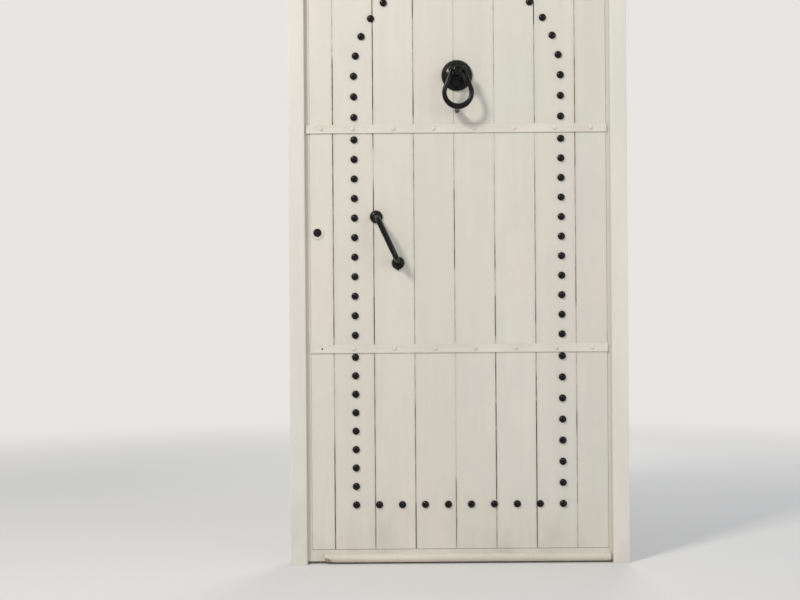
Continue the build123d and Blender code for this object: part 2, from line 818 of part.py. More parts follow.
# Lock case: a cast box, open towards the plate, with a mouth for the bolt, a pad behind it, three posts
# for the spikes and a bearing for the pinion's spindle
with BuildPart() as lock_case:
    with BuildSketch(seen_from_outside(case_front_y)):
        with Locations((case_middle_x, case_middle_z)):
            Rectangle(case_width, case_height)
    extrude(amount=-case_depth)
    chamfer(lock_case.faces().sort_by(Axis.Y)[-1].edges(), case_chamfer)
    with BuildSketch(seen_from_outside(case_front_y)):
        with Locations((case_middle_x, case_middle_z)):
            Rectangle(case_width - 2 * case_wall, case_height - 2 * case_wall)
        with Locations(*case_spike_points):
            Rectangle(case_post, case_post, mode=Mode.SUBTRACT)
    extrude(amount=case_wall - case_depth, mode=Mode.SUBTRACT)
    with BuildSketch(seen_from_outside(case_front_y)):
        with Locations(*case_spike_points):
            Rectangle(spike_shank, spike_shank)
    extrude(amount=-case_depth, mode=Mode.SUBTRACT)
    with BuildSketch(seen_from_outside(case_front_y)):
        with Locations((case_left, bolt_middle_z)):
            Rectangle(
                case_wall,
                bolt_height + 2 * bolt_clearance,
                align=(Align.MIN, Align.CENTER),
            )
    extrude(amount=case_front_y - bolt_back_y - bolt_clearance, mode=Mode.SUBTRACT)
    with BuildSketch(seen_from_outside(case_back_y - case_wall)):
        with Locations((case_left + case_wall, bolt_middle_z)):
            Rectangle(guide_length, bolt_height, align=(Align.MIN, Align.CENTER))
    extrude(amount=case_back_y - case_wall - bolt_back_y - bolt_clearance)
    with BuildSketch(seen_from_outside(case_back_y)):
        with Locations((lock_axis_x, lock_axis_z)):
            Circle(spindle_r + spindle_clearance)
    extrude(amount=case_wall, mode=Mode.SUBTRACT)
save(lock_case, "lock_case")

# Bolt: a bar with a bevelled nose and a rack of straight-flanked gaps cut in its top
bolt_nose_x = case_left
rack_gap_half = rack_pitch / 4 + backlash / 2
flank_slope = math.tan(math.radians(pressure_angle))
gap_top = rack_gap_half + rack_addendum * flank_slope
gap_depth = pinion_addendum + root_clearance
gap_bottom = rack_gap_half - gap_depth * flank_slope
rack_gap_count = math.ceil(bolt_throw / rack_pitch) + 3
rack_gap_xs = [lock_axis_x + rack_pitch * k for k in range(-1, rack_gap_count - 1)]
with BuildPart() as lock_bolt:
    with BuildSketch(seen_from_outside(bolt_front_y)):
        with Locations((bolt_nose_x, bolt_middle_z)):
            Rectangle(bolt_length, bolt_height, align=(Align.MIN, Align.CENTER))
        for gap_x in rack_gap_xs:
            with BuildLine():
                Polyline(
                    (gap_x - gap_top, bolt_top_z),
                    (gap_x - gap_bottom, pitch_line_z - gap_depth),
                    (gap_x + gap_bottom, pitch_line_z - gap_depth),
                    (gap_x + gap_top, bolt_top_z),
                    close=True,
                )
            make_face(mode=Mode.SUBTRACT)
    extrude(amount=-bolt_thickness)
    nose_edge = lock_bolt.edges().filter_by(Axis.Z).sort_by_distance(
        (bolt_nose_x, bolt_front_y, bolt_middle_z)
    )[0]
    chamfer(nose_edge, bolt_bevel)
save(lock_bolt, "lock_bolt")

# Pinion: involute teeth, drawn as chords, on a hub with the slot for the tailpiece, and the spindle with
# its square end for the thumb turn
base_r = pitch_r * math.cos(math.radians(pressure_angle))
tip_r = pitch_r + pinion_addendum
root_r = pitch_r - rack_addendum - root_clearance
half_tooth = (rack_pitch / 2 - backlash) / (2 * pitch_r)
pitch_involute = flank_slope - math.radians(pressure_angle)


def flank_point(r):
    """Point of a tooth's flank at radius r, for a tooth that points along local -Y."""
    roll = math.acos(min(1, base_r / r))
    angle = half_tooth + pitch_involute - (math.tan(roll) - roll)
    return (r * math.sin(angle), -r * math.cos(angle))


flank_radii = [root_r - root_clearance] + spaced(base_r, tip_r, 3)
right_flank = [flank_point(r) for r in flank_radii]
left_flank = [(-x, z) for x, z in reversed(right_flank)]
with BuildPart() as lock_pinion:
    with BuildSketch(seen_from_outside(bolt_front_y)):
        with Locations((lock_axis_x, lock_axis_z)):
            RegularPolygon(root_r, pinion_teeth)
            with PolarLocations(0, pinion_teeth):
                Polygon(*right_flank, *left_flank, align=None)
    extrude(amount=-bolt_thickness)
    with BuildSketch(seen_from_outside(bolt_back_y)):
        with Locations((lock_axis_x, lock_axis_z)):
            RegularPolygon(root_r, pinion_teeth)
    extrude(amount=bolt_back_y - case_back_y + case_wall + bolt_clearance)
    with BuildSketch(seen_from_outside(bolt_back_y)):
        with Locations((lock_axis_x, lock_axis_z)):
            Circle(spindle_r)
    extrude(amount=bolt_back_y - case_back_y - knob_gap)
    with BuildSketch(seen_from_outside(case_back_y + knob_gap)):
        with Locations((lock_axis_x, lock_axis_z)):
            Rectangle(drive_square, drive_square)
    extrude(amount=-drive_length)
    with BuildSketch(seen_from_outside(bolt_front_y)):
        with Locations((lock_axis_x, lock_axis_z)):
            Rectangle(
                tailpiece_width + 2 * tailpiece_clearance,
                tailpiece_thickness + 2 * tailpiece_clearance,
            )
    extrude(amount=-bolt_thickness, mode=Mode.SUBTRACT)
save(lock_pinion, "lock_pinion")

# Thumb turn: a disc and an upright wing on the spindle's square
knob_front_y = case_back_y + knob_gap
with BuildPart() as thumb_turn:
    with BuildSketch(seen_from_outside(knob_front_y)):
        with Locations((lock_axis_x, lock_axis_z)):
            RegularPolygon(knob_r, escutcheon_sides)
    extrude(amount=-knob_thickness)
    with BuildSketch(seen_from_outside(knob_front_y + knob_thickness)):
        with Locations((lock_axis_x, lock_axis_z)):
            Rectangle(wing_length, wing_thickness)
    extrude(amount=-wing_height)
    chamfer(thumb_turn.faces().sort_by(Axis.Y)[-1].edges(), wing_bevel)
    with BuildSketch(seen_from_outside(knob_front_y)):
        with Locations((lock_axis_x, lock_axis_z)):
            Rectangle(drive_square, drive_square)
    extrude(amount=-drive_length, mode=Mode.SUBTRACT)
save(thumb_turn, "thumb_turn")

# Keep: a staple on the lock side jamb that the bolt shoots into, with a screwed flange above and below
keep_back_y = bolt_back_y + keep_clearance + keep_wall
keep_depth = keep_back_y - frame_back_y
with BuildPart() as keep:
    with BuildSketch(seen_from_outside(frame_back_y)):
        with Locations((keep_middle_x, bolt_middle_z)):
            Rectangle(keep_width, keep_height)
    extrude(amount=-keep_depth)
    with BuildSketch(seen_from_outside(frame_back_y)):
        with Locations((keep_middle_x, bolt_middle_z)):
            Rectangle(keep_width, keep_height + 2 * keep_flange)
    extrude(amount=-keep_flange_thickness)
    with BuildSketch(seen_from_outside(frame_back_y)):
        with Locations((keep_right, bolt_middle_z)):
            Rectangle(
                keep_width - keep_wall,
                bolt_height + 2 * keep_clearance,
                align=(Align.MAX, Align.CENTER),
            )
        with Locations(*keep_spike_points):
            Rectangle(spike_shank, spike_shank)
    extrude(amount=keep_wall - keep_depth, mode=Mode.SUBTRACT)
save(keep, "keep")

# Hinges: a band on the leaf's back that ends in an eye, on the pin of a hook spiked to the jamb
for name, z in (("lower", lower_hinge_z), ("upper", upper_hinge_z)):
    band_bottom = z - band_height / 2
    with BuildPart() as band:
        with BuildSketch(seen_from_outside(leaf_back_y)):
            with BuildLine():
                Polyline(
                    (leaf_x, band_bottom),
                    (leaf_x, band_bottom + band_height),
                    (leaf_x - band_length, band_bottom + band_height - band_taper),
                    (leaf_x - band_length, band_bottom + band_taper),
                    close=True,
                )
            make_face()
            with Locations(*[point for point in band_spike_points if point[1] == z]):
                Rectangle(spike_shank, spike_shank, mode=Mode.SUBTRACT)
        extrude(amount=-band_thickness)
        with BuildSketch(Plane.XY.offset(band_bottom)):
            with Locations((hinge_x, hinge_y)):
                Circle(hinge_eye_r)
            with Locations((leaf_x, leaf_back_y)):
                Rectangle(
                    leaf_x - hinge_x + hinge_eye_r,
                    hinge_y - leaf_back_y,
                    align=(Align.MAX, Align.MIN),
                )
            with Locations((hinge_x, hinge_y)):
                Circle(hinge_pin_r + hinge_pin_clearance, mode=Mode.SUBTRACT)
        extrude(amount=band_height)
    save(band, f"{name}_hinge_band")

    lug_top = band_bottom - hinge_seat_gap
    with BuildPart() as hook:
        with BuildSketch(seen_from_outside(frame_back_y)):
            with Locations((hook_plate_middle_x, z)):
                Rectangle(hook_plate_width, hook_plate_height)
            with Locations(*[point for point in hook_spike_points if abs(point[1] - z) < hook_plate_height]):
                Rectangle(spike_shank, spike_shank, mode=Mode.SUBTRACT)
        extrude(amount=-hook_plate_thickness)
        with BuildSketch(Plane.XY.offset(lug_top)):
            with Locations((hinge_x, hinge_y)):
                Circle(hinge_eye_r)
            with BuildLine():
                Polyline(
                    (hinge_x, hinge_y - hinge_eye_r),
                    (hook_plate_left, frame_back_y),
                    (hook_plate_left + hook_plate_width, frame_back_y),
                    (hook_plate_left + hook_plate_width, frame_back_y + hook_plate_thickness),
                    (hinge_x, hinge_y + hinge_eye_r),
                    close=True,
                )
            make_face()
        extrude(amount=-lug_height)
        with BuildSketch(Plane.XY.offset(lug_top)):
            with Locations((hinge_x, hinge_y)):
                Circle(hinge_pin_r)
        extrude(amount=hinge_seat_gap + band_height + pin_rise)
    save(hook, f"{name}_hinge_hook")


def spike(iron_thickness):
    """Square spike with a faceted head, for iron of this thickness, driven in from the inside."""
    with BuildPart() as piece:
        with BuildSketch(seen_from_outside(0)):
            RegularPolygon(spike_head_r, stud_sides)
        extrude(amount=-spike_head_height)
        with BuildSketch(seen_from_outside(0)):
            Rectangle(spike_shank, spike_shank)
        extrude(amount=iron_thickness + spike_grip)
    return piece.part


# Spikes into the leaf and into the frame
with BuildPart() as leaf_spikes:
    with Locations(*[(x, leaf_back_y + band_thickness, z) for x, z in band_spike_points]):
        add(spike(band_thickness))
    with Locations(*[(x, case_back_y, z) for x, z in case_spike_points]):
        add(spike(case_depth + back_plate_thickness))
save(leaf_spikes, "leaf_spikes")

with BuildPart() as frame_spikes:
    with Locations(*[(x, frame_back_y + hook_plate_thickness, z) for x, z in hook_spike_points]):
        add(spike(hook_plate_thickness))
    with Locations(*[(x, frame_back_y + keep_flange_thickness, z) for x, z in keep_spike_points]):
        add(spike(keep_flange_thickness))
save(frame_spikes, "frame_spikes")
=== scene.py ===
# %% [markdown]
# # A plank door with a stud arch, in its frame
# The solids of the door are already drawn to size: the frame, the planks, the ironwork and the lock.
# Loading them first gives a fixed frame to work in. Everything that is added later takes its place
# from these solids, so nothing has to be fitted by eye, and everything can still move with the door.

# %% Load the door
import math
import random
import bpy
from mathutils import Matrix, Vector
from mathutils import noise as turbulence


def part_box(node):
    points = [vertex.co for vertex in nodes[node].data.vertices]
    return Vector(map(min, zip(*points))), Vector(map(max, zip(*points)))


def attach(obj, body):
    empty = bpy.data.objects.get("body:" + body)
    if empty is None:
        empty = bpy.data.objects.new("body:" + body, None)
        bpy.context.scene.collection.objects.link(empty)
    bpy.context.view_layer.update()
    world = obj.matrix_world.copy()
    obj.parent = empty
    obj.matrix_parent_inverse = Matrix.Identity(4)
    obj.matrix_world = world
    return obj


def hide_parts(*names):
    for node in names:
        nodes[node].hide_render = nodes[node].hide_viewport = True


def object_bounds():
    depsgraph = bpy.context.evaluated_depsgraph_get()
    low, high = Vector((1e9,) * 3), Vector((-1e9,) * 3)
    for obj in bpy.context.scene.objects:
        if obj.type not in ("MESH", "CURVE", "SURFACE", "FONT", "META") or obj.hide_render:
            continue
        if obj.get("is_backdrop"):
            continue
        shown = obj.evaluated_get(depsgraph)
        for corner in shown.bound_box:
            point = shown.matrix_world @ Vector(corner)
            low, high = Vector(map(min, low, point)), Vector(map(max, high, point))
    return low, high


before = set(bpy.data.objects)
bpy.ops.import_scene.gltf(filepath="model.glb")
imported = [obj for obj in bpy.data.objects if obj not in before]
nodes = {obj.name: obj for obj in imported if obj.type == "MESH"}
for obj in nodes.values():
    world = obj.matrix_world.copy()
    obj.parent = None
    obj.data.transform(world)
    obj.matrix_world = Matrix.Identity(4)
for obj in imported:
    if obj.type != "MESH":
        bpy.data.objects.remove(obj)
cad_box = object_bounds()


def clear():
    """Leave edit mode and select nothing."""
    if bpy.context.mode != "OBJECT":
        bpy.ops.object.mode_set(mode="OBJECT")
    bpy.ops.object.select_all(action="DESELECT")


clear()
print("loaded", len(nodes), "pieces; the door is", [round(v, 3) for v in cad_box[1] - cad_box[0]], "m")

# %% [markdown]
# ## The camera
# The picture was taken with a level camera, standing a little left of the door's middle and low, about
# chest height of a child, 3 m away. A level camera keeps the jambs parallel. The door's foot is in the
# picture because the lens is shifted, so a vertical shift is used here too, and not a tilt. The whole
# picture leans by less than half a degree, which is a small roll of the camera.

# %% Place the camera
planks_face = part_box("plank_4")[0].y
camera_x, camera_height, camera_distance = -0.182, 0.677, 3.0
camera_roll = math.radians(0.42)
picture_width, raised_by = 800, 45
camera_data = bpy.data.cameras.new("camera")
camera_data.lens = 43.6
camera_data.shift_y = raised_by / picture_width
camera = bpy.data.objects.new("camera", camera_data)
camera.location = (camera_x, planks_face - camera_distance, camera_height)
camera.rotation_euler = (math.radians(90), camera_roll, 0)
bpy.context.collection.objects.link(camera)
bpy.context.scene.camera = camera
print("camera at", [round(v, 3) for v in camera.location])

# %% [markdown]
# ## Floor
# A pale, matt floor shows the paint as it is. Near the door it is a real floor that takes the door's
# shadow. Far from the door it fades into the colour of the background, by mixing in a plain glow with
# distance, so there is no hard line behind the door.

# %% Lay the floor
bpy.context.scene.view_settings.view_transform = "Standard"
backdrop = (0.80, 0.79, 0.77, 1)
fade_start, fade_end = 1.6, 6.0
bpy.ops.mesh.primitive_plane_add(size=60, location=(0, 0, 0))
floor = bpy.context.object
floor.name = "floor"
floor_paint = bpy.data.materials.new("floor_paint")
floor_paint.use_nodes = True
grow = floor_paint.node_tree.nodes.new
join = floor_paint.node_tree.links.new
matt = floor_paint.node_tree.nodes["Principled BSDF"]
matt.inputs["Base Color"].default_value = (0.72, 0.71, 0.69, 1)
matt.inputs["Roughness"].default_value = 0.9
glow = grow("ShaderNodeEmission")
glow.inputs["Color"].default_value = backdrop
distance = grow("ShaderNodeVectorMath")
distance.operation = "LENGTH"
join(grow("ShaderNodeTexCoord").outputs["Object"], distance.inputs[0])
fade = grow("ShaderNodeMapRange")
fade.interpolation_type = "SMOOTHSTEP"
fade.inputs["From Min"].default_value = fade_start
fade.inputs["From Max"].default_value = fade_end
join(distance.outputs["Value"], fade.inputs["Value"])
seen = grow("ShaderNodeMath")
seen.operation = "MULTIPLY"
join(fade.outputs["Result"], seen.inputs[0])
join(grow("ShaderNodeLightPath").outputs["Is Camera Ray"], seen.inputs[1])
ground = grow("ShaderNodeMixShader")
join(seen.outputs["Value"], ground.inputs["Fac"])
join(matt.outputs["BSDF"], ground.inputs[1])
join(glow.outputs["Emission"], ground.inputs[2])
join(ground.outputs["Shader"], floor_paint.node_tree.nodes["Material Output"].inputs["Surface"])
floor.data.materials.append(floor_paint)
floor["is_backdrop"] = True
print("the floor fades from", fade_start, "to", fade_end, "m")

# %% [markdown]
# ## Surroundings
# The world lights the door from all sides with a cool, weak sky. What the camera sees of it, straight or
# in a shine, is the colour that the floor fades into, so the picture has one calm background. A Light
# Path node tells these rays apart, and two maximums join its answers into one.

# %% Set the surroundings
world = bpy.data.worlds.new("surroundings")
bpy.context.scene.world = world
world.use_nodes = True
sky = world.node_tree.nodes["Background"]
sky.inputs["Color"].default_value = (0.90, 0.93, 1.0, 1)
sky.inputs["Strength"].default_value = 0.5
seen_sky = world.node_tree.nodes.new("ShaderNodeBackground")
seen_sky.inputs["Color"].default_value = backdrop
seen_sky.inputs["Strength"].default_value = 1.0
rays = world.node_tree.nodes.new("ShaderNodeLightPath")
choose = world.node_tree.nodes.new("ShaderNodeMixShader")
direct = world.node_tree.nodes.new("ShaderNodeMath")
direct.operation = "MAXIMUM"
clear_way = world.node_tree.nodes.new("ShaderNodeMath")
clear_way.operation = "MAXIMUM"
links = world.node_tree.links
links.new(rays.outputs["Is Camera Ray"], direct.inputs[0])
links.new(rays.outputs["Is Glossy Ray"], direct.inputs[1])
links.new(direct.outputs["Value"], clear_way.inputs[0])
links.new(rays.outputs["Is Transmission Ray"], clear_way.inputs[1])
links.new(clear_way.outputs["Value"], choose.inputs["Fac"])
links.new(sky.outputs["Background"], choose.inputs[1])
links.new(seen_sky.outputs["Background"], choose.inputs[2])
links.new(choose.outputs["Shader"], world.node_tree.nodes["World Output"].inputs["Surface"])
print("surroundings of strength", sky.inputs["Strength"].default_value)

# %% [markdown]
# ## Lamps
# One lamp from the upper left gives the shadows their direction, a weaker and larger one from the right
# keeps them soft, and a third lights the back. Each has a place, a target, a size, a power in watts and
# a colour: the key is a little warm and the fill a little cool, as in open air. The lamps and the
# surroundings together light a surface so that a colour comes out about as it is written.

# %% Hang the lamps
def lamp(name, place, target, size, power, colour):
    """A square area lamp that looks at a target."""
    data = bpy.data.lights.new(name, "AREA")
    data.size = size
    data.energy = power
    data.color = colour
    light = bpy.data.objects.new(name, data)
    light.location = place
    light.rotation_euler = (Vector(target) - Vector(place)).to_track_quat("-Z", "Y").to_euler()
    bpy.context.collection.objects.link(light)
    return light


lamp("key_lamp", (-2.6, -3.0, 3.9), (0, 0, 1.1), 0.8, 142, (1.0, 0.97, 0.92))
lamp("fill_lamp", (3.0, -3.0, 1.6), (0, 0, 0.9), 2.4, 34, (0.94, 0.97, 1.0))
lamp("back_lamp", (1.2, 3.6, 2.8), (0, 0, 1.0), 2.0, 50, (1.0, 1.0, 1.0))
print("three lamps hang")

# %% [markdown]
# ## A small kit for materials
# Each finish below is built from a few kinds of node: noise for unevenness, a ramp to choose where it
# shows, a mix to lay one colour over another, and bump for relief. Patterns are read in object
# coordinates, in metres. Stretching a pattern along the height makes the marks of a brush or of grain.

# %% Helpers for patterns
def new_finish(name, roughness, metallic=0.0):
    """A material with its shader and object coordinates ready."""
    made = bpy.data.materials.new(name)
    made.use_nodes = True
    shader = made.node_tree.nodes["Principled BSDF"]
    shader.inputs["Roughness"].default_value = roughness
    shader.inputs["Metallic"].default_value = metallic
    place = made.node_tree.nodes.new("ShaderNodeTexCoord").outputs["Object"]
    return made, shader, place


def stretched(made, place, scale, location=(0, 0, 0)):
    """Coordinates scaled by axis: a small number makes a pattern long along that axis."""
    mapping = made.node_tree.nodes.new("ShaderNodeMapping")
    mapping.inputs["Scale"].default_value = scale
    mapping.inputs["Location"].default_value = location
    made.node_tree.links.new(place, mapping.inputs["Vector"])
    return mapping.outputs["Vector"]


def noise(made, place, scale, detail, roughness=0.55):
    """Soft random values around 0.5."""
    node = made.node_tree.nodes.new("ShaderNodeTexNoise")
    node.inputs["Scale"].default_value = scale
    node.inputs["Detail"].default_value = detail
    node.inputs["Roughness"].default_value = roughness
    made.node_tree.links.new(place, node.inputs["Vector"])
    return node.outputs["Fac"]


print("helpers for patterns ready")

# %% [markdown]
# ## Working with values
# A pattern is only a number at each point. A Map Range node picks the part of its range that matters and
# clamps the rest, and Math nodes add such numbers, multiply them or take them apart.

# %% Helpers for values
def between(made, value, low, high, to_low=0.0, to_high=1.0):
    """Map low..high to to_low..to_high and clamp."""
    node = made.node_tree.nodes.new("ShaderNodeMapRange")
    sockets = ("From Min", "From Max", "To Min", "To Max")
    for socket, number in zip(sockets, (low, high, to_low, to_high)):
        node.inputs[socket].default_value = number
    made.node_tree.links.new(value, node.inputs["Value"])
    return node.outputs["Result"]


def calc(made, operation, a, b=None):
    """One step of arithmetic on values or numbers."""
    node = made.node_tree.nodes.new("ShaderNodeMath")
    node.operation = operation
    for socket, value in zip(node.inputs, (a, b)):
        if value is None:
            continue
        if isinstance(value, (int, float)):
            socket.default_value = value
        else:
            made.node_tree.links.new(value, socket)
    return node.outputs["Value"]


def axis_of(made, place, axis):
    """One coordinate of a place."""
    node = made.node_tree.nodes.new("ShaderNodeSeparateXYZ")
    made.node_tree.links.new(place, node.inputs["Vector"])
    return node.outputs[axis]


print("helpers for values ready")

# %% [markdown]
# ## Laying colours over each other
# On the real door too, dirt lies on paint and rust on iron. So a finish is built in layers, and a Mix
# node lays one colour over another by an amount. Colours are written as they look on screen, from 0 to
# 255, and turned into the linear values that a shader computes with.

# %% Helpers for colours
def over(made, amount, under, upper):
    """Lay the colour upper over the colour under by an amount."""
    node = made.node_tree.nodes.new("ShaderNodeMix")
    node.data_type = "RGBA"
    amount_socket, under_socket, upper_socket = node.inputs[0], node.inputs[6], node.inputs[7]
    for socket, value in ((amount_socket, amount), (under_socket, under), (upper_socket, upper)):
        if isinstance(value, (int, float)):
            socket.default_value = value
        elif isinstance(value, tuple):
            socket.default_value = (*value, 1)
        else:
            made.node_tree.links.new(value, socket)
    return node.outputs[2]


def layer(made, under, pattern, low, high, amount, upper):
    """Lay upper over under where a pattern rises from low to high, up to an amount."""
    return over(made, between(made, pattern, low, high, 0.0, amount), under, upper)


def srgb(red, green, blue):
    """A colour as it is seen on screen, 0 to 255, in the linear values that a shader wants."""
    def linear(value):
        value /= 255
        return value / 12.92 if value <= 0.04045 else ((value + 0.055) / 1.055) ** 2.4
    return (linear(red), linear(green), linear(blue))


def shaded(colour, factor):
    """A colour made darker or lighter by a factor."""
    return tuple(min(1.0, value * factor) for value in colour)


print("a middle grey of 128 on screen is", round(srgb(128, 128, 128)[0], 3), "in linear light")

# %% [markdown]
# ## Into the shader
# The colour and the roughness go straight into the shader's sockets. Marks that are too fine to model go
# in as bump, which tilts the shading and leaves the mesh as it is.

# %% Helpers for the shader
def use(made, value, shader, socket):
    """Drive a shader's socket with a node's value."""
    made.node_tree.links.new(value, shader.inputs[socket])


def relief(made, shader, height, strength, distance):
    """Bump from a height value."""
    node = made.node_tree.nodes.new("ShaderNodeBump")
    node.inputs["Strength"].default_value = strength
    node.inputs["Distance"].default_value = distance
    made.node_tree.links.new(height, node.inputs["Height"])
    made.node_tree.links.new(node.outputs["Normal"], shader.inputs["Normal"])


print("helpers for the shader ready")

# %% [markdown]
# ## White paint on wood
# The door has many coats of oil paint put on with a brush. The coats are not even: the tone wanders a
# little between warm and greenish white, the brush leaves fine vertical marks, and the grain lifts them.
# Towards the foot the paint turns greyer in patches, and along the joints of the planks dirt and painted
# shade grey it a little.
# The planks repeat at a fixed pitch. So X divided by the pitch tells two things: its whole part is the
# plank, which gets a shade of its own, and its fraction is the distance from a joint.

# %% Paint for wood
joint_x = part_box("plank_2")[0].x
plank_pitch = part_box("plank_3")[0].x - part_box("plank_2")[0].x
leaf_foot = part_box("stile_lock_side")[0].z
foot_grey_height = 0.22


def plank_shades(made, place, colour, tone):
    """Each plank gets a tone of its own; its joints get dirt and painted shade."""
    across = calc(made, "SUBTRACT", axis_of(made, place, "X"), joint_x)
    across = calc(made, "DIVIDE", across, plank_pitch)
    tint = made.node_tree.nodes.new("ShaderNodeTexWhiteNoise")
    tint.noise_dimensions = "1D"
    made.node_tree.links.new(calc(made, "FLOOR", across), tint.inputs["W"])
    colour = layer(made, colour, tint.outputs["Value"], 0, 1, 0.10, shaded(tone, 0.72))
    near = calc(made, "SUBTRACT", calc(made, "FRACT", calc(made, "ADD", across, 0.5)), 0.5)
    near = calc(made, "MULTIPLY", calc(made, "ABSOLUTE", near), plank_pitch)
    slow = noise(made, stretched(made, place, (9, 1, 1), (0, 0, 5)), 3.2, 3)
    # Grey within about a centimetre of each joint: dirt, and painted shade of the groove.
    joint_dirt_and_shade = between(made, near, 0.002, 0.012, 0.14, 0.0)
    joint_dirt_and_shade = calc(made, "MULTIPLY", joint_dirt_and_shade, between(made, slow, 0.3, 0.7))
    return over(made, joint_dirt_and_shade, colour, srgb(150, 144, 132))


def white_paint(name, tone, warm, cool, joints):
    """Brushed white paint: tone is its colour, warm and cool are the shades it wanders to."""
    made, shader, place = new_finish(name, 0.52)
    broad = noise(made, stretched(made, place, (1, 1, 0.35)), 5, 2)
    colour = over(made, between(made, broad, 0.38, 0.62), warm, cool)
    colour = over(made, 0.55, tone, colour)
    stroke = noise(made, stretched(made, place, (1, 1, 0.07), (11, 0, 3)), 24, 4, 0.6)
    colour = layer(made, colour, stroke, 0.42, 0.66, 0.30, shaded(cool, 0.90))
    colour = over(made, between(made, stroke, 0.30, 0.46, 0.22, 0.0), colour, shaded(warm, 1.06))
    blotch = noise(made, stretched(made, place, (1, 1, 0.6), (3, 1, 2)), 16, 4)
    colour = layer(made, colour, blotch, 0.40, 0.75, 0.16, shaded(tone, 0.78))
    if joints:
        colour = plank_shades(made, place, colour, tone)
    height = axis_of(made, place, "Z")
    # Greyer patches that fade out upwards from the foot of the leaf.
    foot = between(made, height, leaf_foot, leaf_foot + foot_grey_height, 1.0, 0.0)
    foot_patches = noise(made, stretched(made, place, (1, 1, 0.5)), 11, 5)
    foot_patches = calc(made, "MULTIPLY", foot, between(made, foot_patches, 0.42, 0.72, 0.0, 0.5))
    colour = over(made, foot_patches, colour, srgb(176, 168, 152))
    brush = noise(made, stretched(made, place, (1, 1, 0.03)), 420, 3, 0.6)
    colour = layer(made, colour, brush, 0.5, 0.8, 0.10, shaded(tone, 0.82))
    use(made, colour, shader, "Base Color")
    use(made, between(made, blotch, 0.3, 0.7, 0.45, 0.62), shader, "Roughness")
    grain = noise(made, stretched(made, place, (1, 1, 0.05), (7, 0, 0)), 150, 4, 0.65)
    rise = calc(made, "ADD", calc(made, "MULTIPLY", brush, 0.4), grain)
    rise = calc(made, "ADD", rise, calc(made, "MULTIPLY", blotch, 0.8))
    relief(made, shader, rise, 0.35, 0.0009)
    return made


timber_tones = (srgb(216, 209, 197), srgb(221, 210, 200), srgb(211, 211, 198))
plain_tones = (srgb(216, 209, 197), srgb(220, 210, 200), srgb(211, 211, 198))
frame_tones = (srgb(222, 217, 206), srgb(225, 217, 206), srgb(216, 215, 204))
leaf_white = white_paint("leaf_white", *timber_tones, True)
frame_white = white_paint("frame_white", *frame_tones, False)
plain_white = white_paint("plain_white", *plain_tones, False)
print("a plank every", round(plank_pitch, 4), "m from x =", round(joint_x, 4))

# %% [markdown]
# ## Paint on iron straps
# The straps are flat iron, painted over together with the door. Paint on iron stays smoother than on
# wood, it yellows a little, and a trace of rust bleeds through it in small patches.

# %% Paint for the straps
def strap_finish(name):
    """Smoother, yellower paint with traces of rust."""
    made, shader, place = new_finish(name, 0.5)
    broad = noise(made, place, 7, 3)
    yellowed = between(made, broad, 0.35, 0.65)
    colour = over(made, yellowed, srgb(219, 213, 201), srgb(208, 202, 190))
    stain = noise(made, stretched(made, place, (1, 1, 1.6), (2, 0, 1)), 42, 5, 0.7)
    colour = layer(made, colour, stain, 0.60, 0.74, 0.35, srgb(160, 138, 112))
    ridge = noise(made, stretched(made, place, (0.06, 1, 1)), 300, 3)
    use(made, colour, shader, "Base Color")
    use(made, between(made, stain, 0.3, 0.7, 0.42, 0.6), shader, "Roughness")
    ridge = calc(made, "ADD", ridge, calc(made, "MULTIPLY", stain, 1.5))
    relief(made, shader, ridge, 0.3, 0.0007)
    return made


strap_white = strap_finish("strap_white")
print("strap finish ready")

# %% [markdown]
# ## Black iron outside, dark iron inside
# The studs, the knocker and the handle are forged or cast iron under black paint. Their surface is
# slightly uneven from the hammer and the sand, so the shine breaks up. The ironwork on the inside has
# only its forge skin, browner, duller and touched with rust.

# %% Iron finishes
def iron_finish(name, tones, rust_amount, roughness, specular=0.5):
    """Uneven iron: tones are its dark colour, its light colour and its rust."""
    dark, light, rust = tones
    made, shader, place = new_finish(name, roughness)
    shader.inputs["Specular IOR Level"].default_value = specular
    cloud = noise(made, place, 26, 4, 0.6)
    colour = over(made, between(made, cloud, 0.35, 0.7), dark, light)
    spots = noise(made, stretched(made, place, (1, 1, 0.8), (4, 2, 0)), 70, 6, 0.7)
    colour = layer(made, colour, spots, 0.56, 0.72, rust_amount, rust)
    use(made, colour, shader, "Base Color")
    dulled = between(made, spots, 0.3, 0.75, roughness - 0.08, roughness + 0.16)
    use(made, dulled, shader, "Roughness")
    hammer = noise(made, place, 95, 2, 0.4)
    hammer = calc(made, "ADD", hammer, calc(made, "MULTIPLY", spots, 0.35))
    relief(made, shader, hammer, 0.45, 0.0012)
    return made


painted_tones = (srgb(4, 4, 5), srgb(11, 10, 10), srgb(30, 25, 21))
bare_tones = (srgb(48, 44, 42), srgb(74, 68, 63), srgb(112, 74, 48))
black_iron = iron_finish("black_iron", painted_tones, 0.2, 0.25, 0.22)
dark_iron = iron_finish("dark_iron", bare_tones, 0.55, 0.55)
print("iron finishes ready")

# %% [markdown]
# ## Lock metals
# The bolt and the pinion are bare steel with fine scratches from use. A metal takes its colour from what
# it reflects, so its shader is fully metallic. The cylinder and its plug are blackened like the iron.

# %% Lock finishes
def steel_finish(name, tone, roughness, grain_scale):
    """Bare metal with scratches along X and a thin brown film."""
    made, shader, place = new_finish(name, roughness, 1.0)
    scratch = noise(made, stretched(made, place, (0.05, 1, 1)), grain_scale, 4, 0.6)
    colour = over(made, between(made, scratch, 0.35, 0.7), tone, shaded(tone, 0.72))
    film = noise(made, place, 34, 4)
    colour = layer(made, colour, film, 0.55, 0.75, 0.5, srgb(118, 100, 82))
    use(made, colour, shader, "Base Color")
    worn = between(made, scratch, 0.3, 0.7, roughness - 0.08, roughness + 0.14)
    use(made, worn, shader, "Roughness")
    relief(made, shader, scratch, 0.18, 0.0003)
    return made


